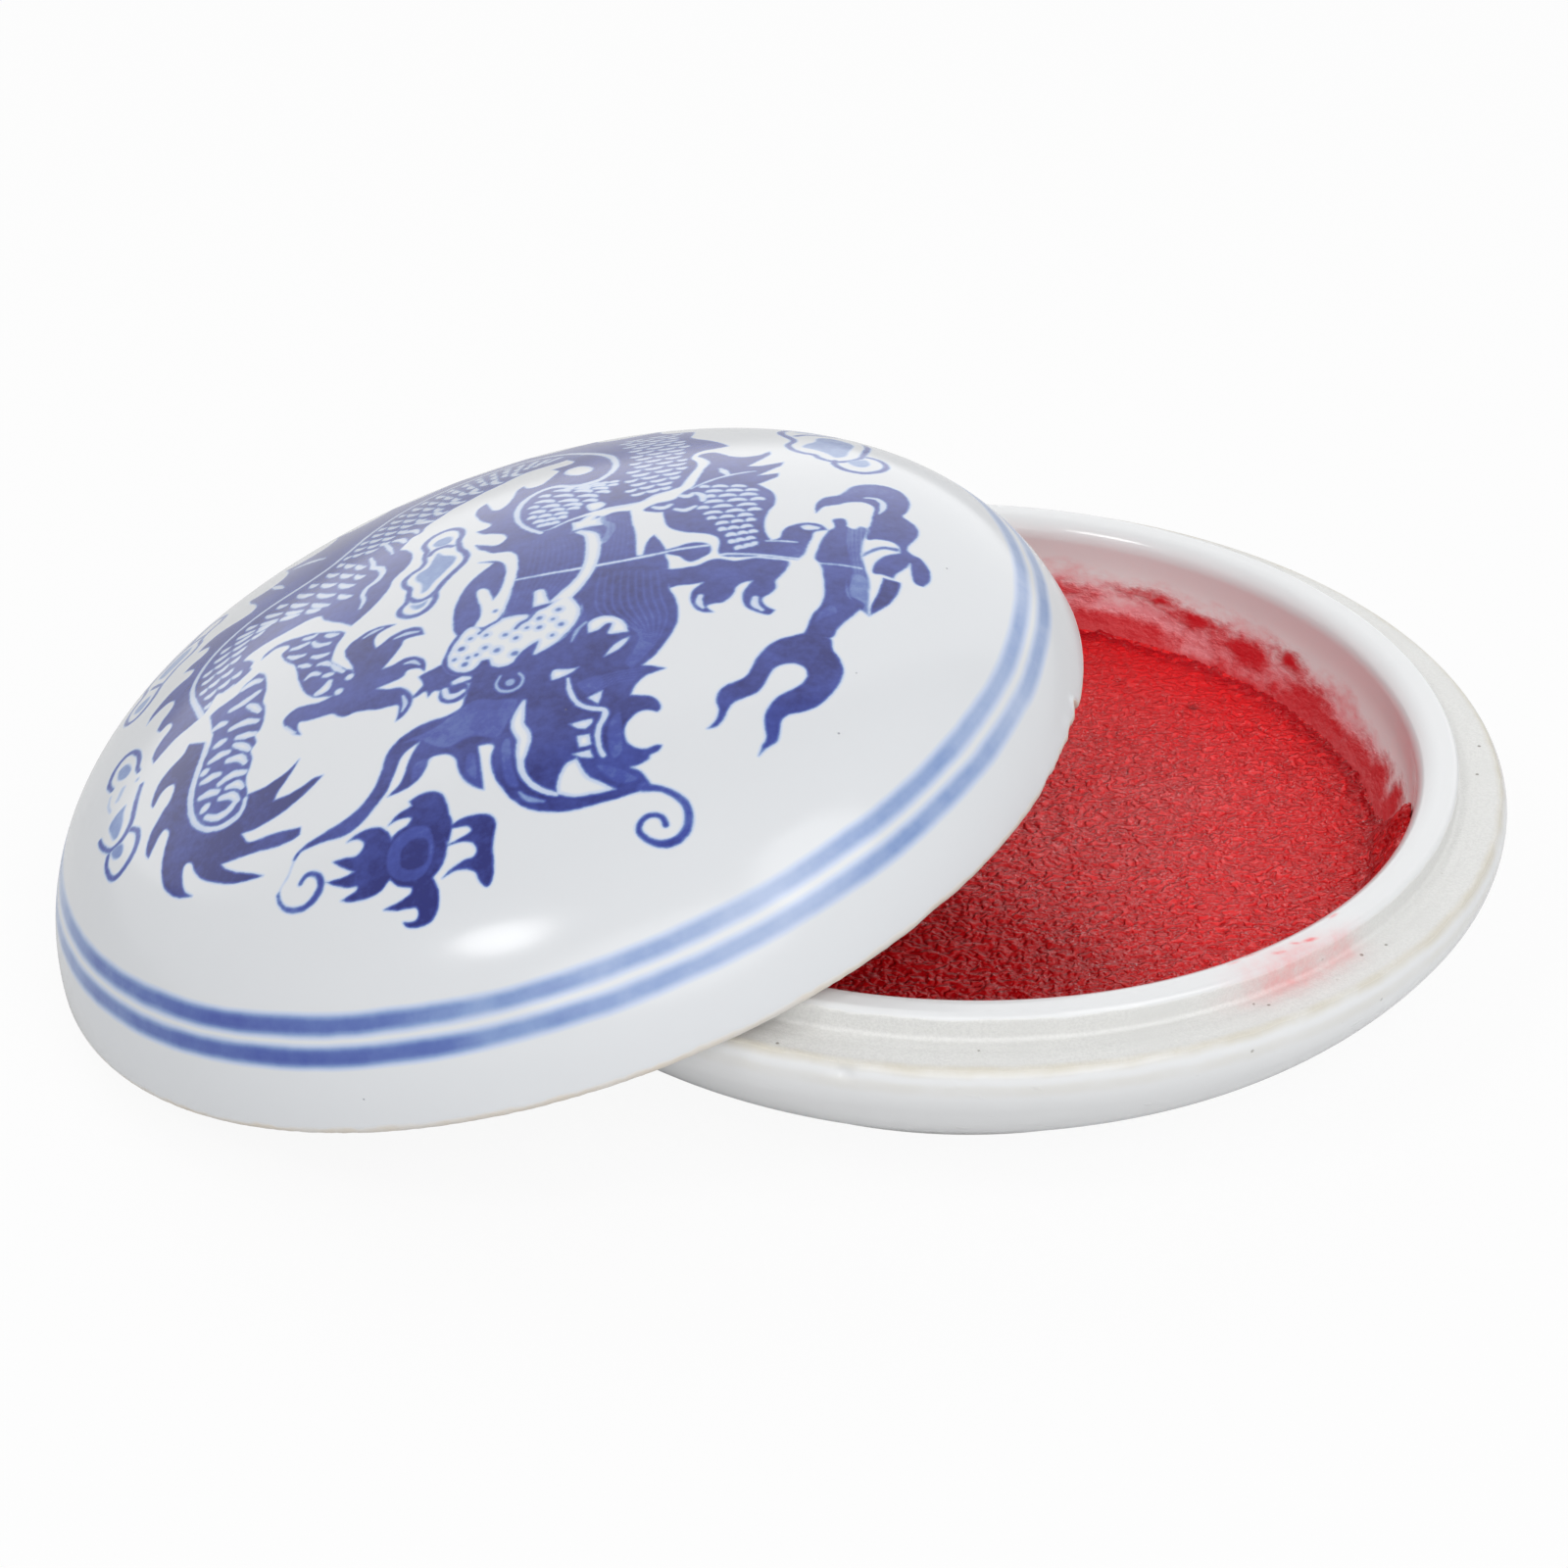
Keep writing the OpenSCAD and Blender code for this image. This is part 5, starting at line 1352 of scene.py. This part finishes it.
def lidOutline(s, z):
    inner = s["shoulder"] - z["thick"]
    fine = 0.1
    return joined(
        arc(z["crownCentre"], z["crown"], 90, s["crownFrom"], s["pitch"]),
        arc(z["centre"], s["shoulder"], s["crownFrom"], s["paintedTo"], s["pitch"]),
        arc(z["centre"], s["shoulder"], s["paintedTo"], z["rimOutTurn"], 0.22),
        arc(z["rimOut"], s["rimRound"], z["rimOutTurn"], -90, fine),
        straight((z["rimOut"][0], 0), (z["rimIn"][0], 0), 0.25),
        arc(z["rimIn"], s["rimRound"], -90, z["rimInTurn"] - 180, fine),
        arc(z["centre"], inner, z["rimInTurn"], s["crownFrom"], 0.7),
        arc(z["crownCentre"], z["crown"] - z["thick"], s["crownFrom"], 90, 1.2))


def makeLid(s):
    z = lidSizes(s)
    outline = lidOutline(s, z)
    course = travelled(outline)
    rim = courseAt(outline, z["rimOut"][0], 0)
    pitch = np.where(course < s["painted"], s["pitch"], np.where(course < rim + 4, 0.32, 0.9))
    body = turned(outline, pitch)
    full = body["course"].max()
    ink, wash = paintedLid(s, body)
    # the rim is chipped in one stretch and a little ragged all round
    degrees = wrapped(np.degrees(body["angle"]))
    chip = 0.03 + 0.05 * np.abs(noise(degrees, 0 * degrees, 1.6, 61, 3))
    for at, wide, deep in s["chips"]:
        chip = np.maximum(chip, deep * np.exp(-((degrees - at) / wide) ** 2) * (
            1 + 0.35 * noise(degrees, 0 * degrees, 0.9, 67, 3)))
    body["height"] = body["height"] + chip * smoothstep(2.4, 0.2, body["height"]) * (body["radius"] > 36)
    points = placed(body)
    tilt = restingTilt(s, z)
    lift = s["rimRound"] + z["rimOut"][0] * math.sin(tilt) - s["rimRound"] * math.cos(tilt)
    lean = np.array(Matrix.Rotation(-tilt, 3, "Y"))
    points = points @ lean.T + (-s["shift"], 0, lift)
    chart = discChart(body, rim, full, (0.41, 0.41, 0.405), (0.91, 0.91, 0.085))
    # how full the brush was as the bands were turned on, with the overlap where they start
    load = 0.95 + 0.2 * noise(degrees, body["course"], 24, 81, 2)
    for at, wide, more, after in s["load"]:
        load = load + more * np.exp(-(apart(degrees, at) / wide) ** 2) * (body["course"] >= after)
    piece = meshPiece("dome", points, body["triangles"], {
        "load": load,
        "course": body["course"],
        "ink": ink,
        "wash": wash,
    }, chart)
    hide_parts("lid")
    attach(piece, "lid")
    piece.data.materials.append(lidFinish(s, rim))
    print("lid tilt", round(math.degrees(tilt), 3), "lift", round(lift, 3))
    return piece


def paintedLid(s, body):
    # how deep in the cobalt each point of the dome's outside lies, and how strong the cobalt is there
    ink = np.full(len(body["course"]), -0.45)
    wash = np.zeros(len(ink))
    outside = body["course"] < s["painted"]
    u = body["course"][outside] * np.cos(body["angle"][outside])
    v = body["course"][outside] * np.sin(body["angle"][outside])
    sheet = paintDragon()
    ink[outside] = sheet.read(sheet.ink, u, v)
    wash[outside] = sheet.read(sheet.wash, u, v)
    print("dragon painted")
    return ink, wash


def lidFinish(s, rim):
    f = Finish("lid glaze")
    course = f.layer("course")
    ink = f.layer("ink")
    wash = f.layer("wash")
    glaze = f.mix(f.grain(12, 2), s["glaze"], dimmed(s["glaze"], 0.97))
    wander = f.grain(6, 2) - 0.5
    brush = f.grain(5, 4, 0.6)
    bands = 0
    for at in s["bands"]:
        reach = abs(course + wander * 0.35 - at)
        bands = reach.ease(s["bandHalf"] + 0.42, s["bandHalf"] - 0.6) + bands
    band = bands * brush.ease(0.1, 0.9, 0.26, 0.4) * f.layer("load")
    soft = ink + (f.grain(0.9, 3, 0.6) - 0.5) * 0.22
    halo = soft.ease(-0.5, 0.0) * 0.2
    mottle = brush.ease(0.2, 0.8, 0.78, 1.1) * f.grain(0.8, 3, 0.6).ease(0.2, 0.8, 0.9, 1.08)
    drawn = (soft.ease(-0.22, 0.26) * wash * mottle).top(halo * wash)
    cobalt = drawn.top(band)
    colour = f.node("ShaderNodeValToRGB", {"stops": ((0.0, s["glaze"]), *s["cobalt"])}, {"Fac": cobalt})
    colour = f.mix(cobalt.ease(0.0, 0.05), glaze, colour)
    lip = course + (f.grain(2.2, 3) - 0.5) * 0.7
    rimLine = lip.ease(rim - 1.25, rim - 0.85) * course.ease(rim + 3.4, rim + 2.6)
    colour = f.mix(rimLine * f.grain(3, 2).ease(0.2, 0.7, 0.45, 0.95), colour, s["rimClay"])
    speck = f.cells(3.4)
    hole = speck.ease(0.035, 0.015) * f.grain(5, 2).ease(0.52, 0.58)
    colour = f.mix(hole * 0.6, colour, s["pinhole"])
    rough = rimLine * 0.5 + 0.17
    ripple = f.bump(f.grain(4, 2), 0.015)
    dents = f.bump(0 - hole, 0.05, ripple)
    return f.surface(Base_Color=colour, Roughness=rough, Normal=dents, IOR=1.46)


dome = makeLid(lid)


# Floor and light

studio = {
    "half": 6.0,
    "lift": -0.00003,  # a hair under the feet
    "floor": 0.8,
    "floorGlow": 0.92,
    "world": 0.42,
    "lamps": {  # place, where it points, width, height, strength
        "back": ((-0.1, 1.1, 0.65), (0, 0, 0.02), 3.2, 1.6, 9.0),
        "front": ((0.15, -0.95, 0.7), (0.02, 0, 0.01), 1.3, 0.8, 5.0),
        "top": ((-0.45, -0.36, 0.73), (-0.05, -0.03, 0.03), 0.26, 0.2, 1.1),
        "right": ((0.43, -0.39, 0.68), (0.01, -0.03, 0.03), 0.4, 0.6, 1.6),
    },
}


def makeStudio(s):
    mesh = bpy.data.meshes.new("floor")
    signs = ((-1, -1), (1, -1), (1, 1), (-1, 1))
    mesh.from_pydata([(x * s["half"], y * s["half"], s["lift"]) for x, y in signs], [], [(0, 1, 2, 3)])
    floor = bpy.data.objects.new("floor", mesh)
    bpy.context.scene.collection.objects.link(floor)
    f = Nodes(bpy.data.materials.new("white floor"))
    rays = f.node("ShaderNodeLightPath", output="Is Camera Ray")
    paper = f.node("ShaderNodeBsdfDiffuse", {}, {"Color": (s["floor"],) * 3})
    glow = f.node("ShaderNodeEmission", {}, {"Color": (1, 1, 1), "Strength": 1.0})
    mixed = f.node("ShaderNodeMixShader", {}, {0: rays * s["floorGlow"], 1: paper, 2: glow})
    f.node("ShaderNodeOutputMaterial", {}, {"Surface": mixed})
    mesh.materials.append(f.data)

    # the room is white to the camera and in reflections, and gives less light than that
    room = Nodes(bpy.data.worlds.new("white room"))
    bpy.context.scene.world = room.data
    seen = room.node("ShaderNodeLightPath", output="Is Camera Ray")
    for ray in ("Is Glossy Ray", "Is Transmission Ray"):
        seen = seen.top(room.node("ShaderNodeLightPath", output=ray))
    given = seen * (1 - s["world"]) + s["world"]
    background = room.node("ShaderNodeBackground", {}, {"Color": (1, 1, 1), "Strength": given})
    room.node("ShaderNodeOutputWorld", {}, {"Surface": background})

    for name, (place, aim, width, height, strength) in s["lamps"].items():
        data = bpy.data.lights.new(name, "AREA")
        data.shape = "ELLIPSE"
        data.size = width
        data.size_y = height
        data.energy = strength
        lamp = bpy.data.objects.new(name, data)
        toward = Vector(aim) - Vector(place)
        lamp.matrix_world = Matrix.Translation(place) @ toward.to_track_quat("-Z", "Y").to_matrix().to_4x4()
        bpy.context.scene.collection.objects.link(lamp)
    bpy.context.scene.view_settings.view_transform = "Standard"
    print("studio lit")


makeStudio(studio)
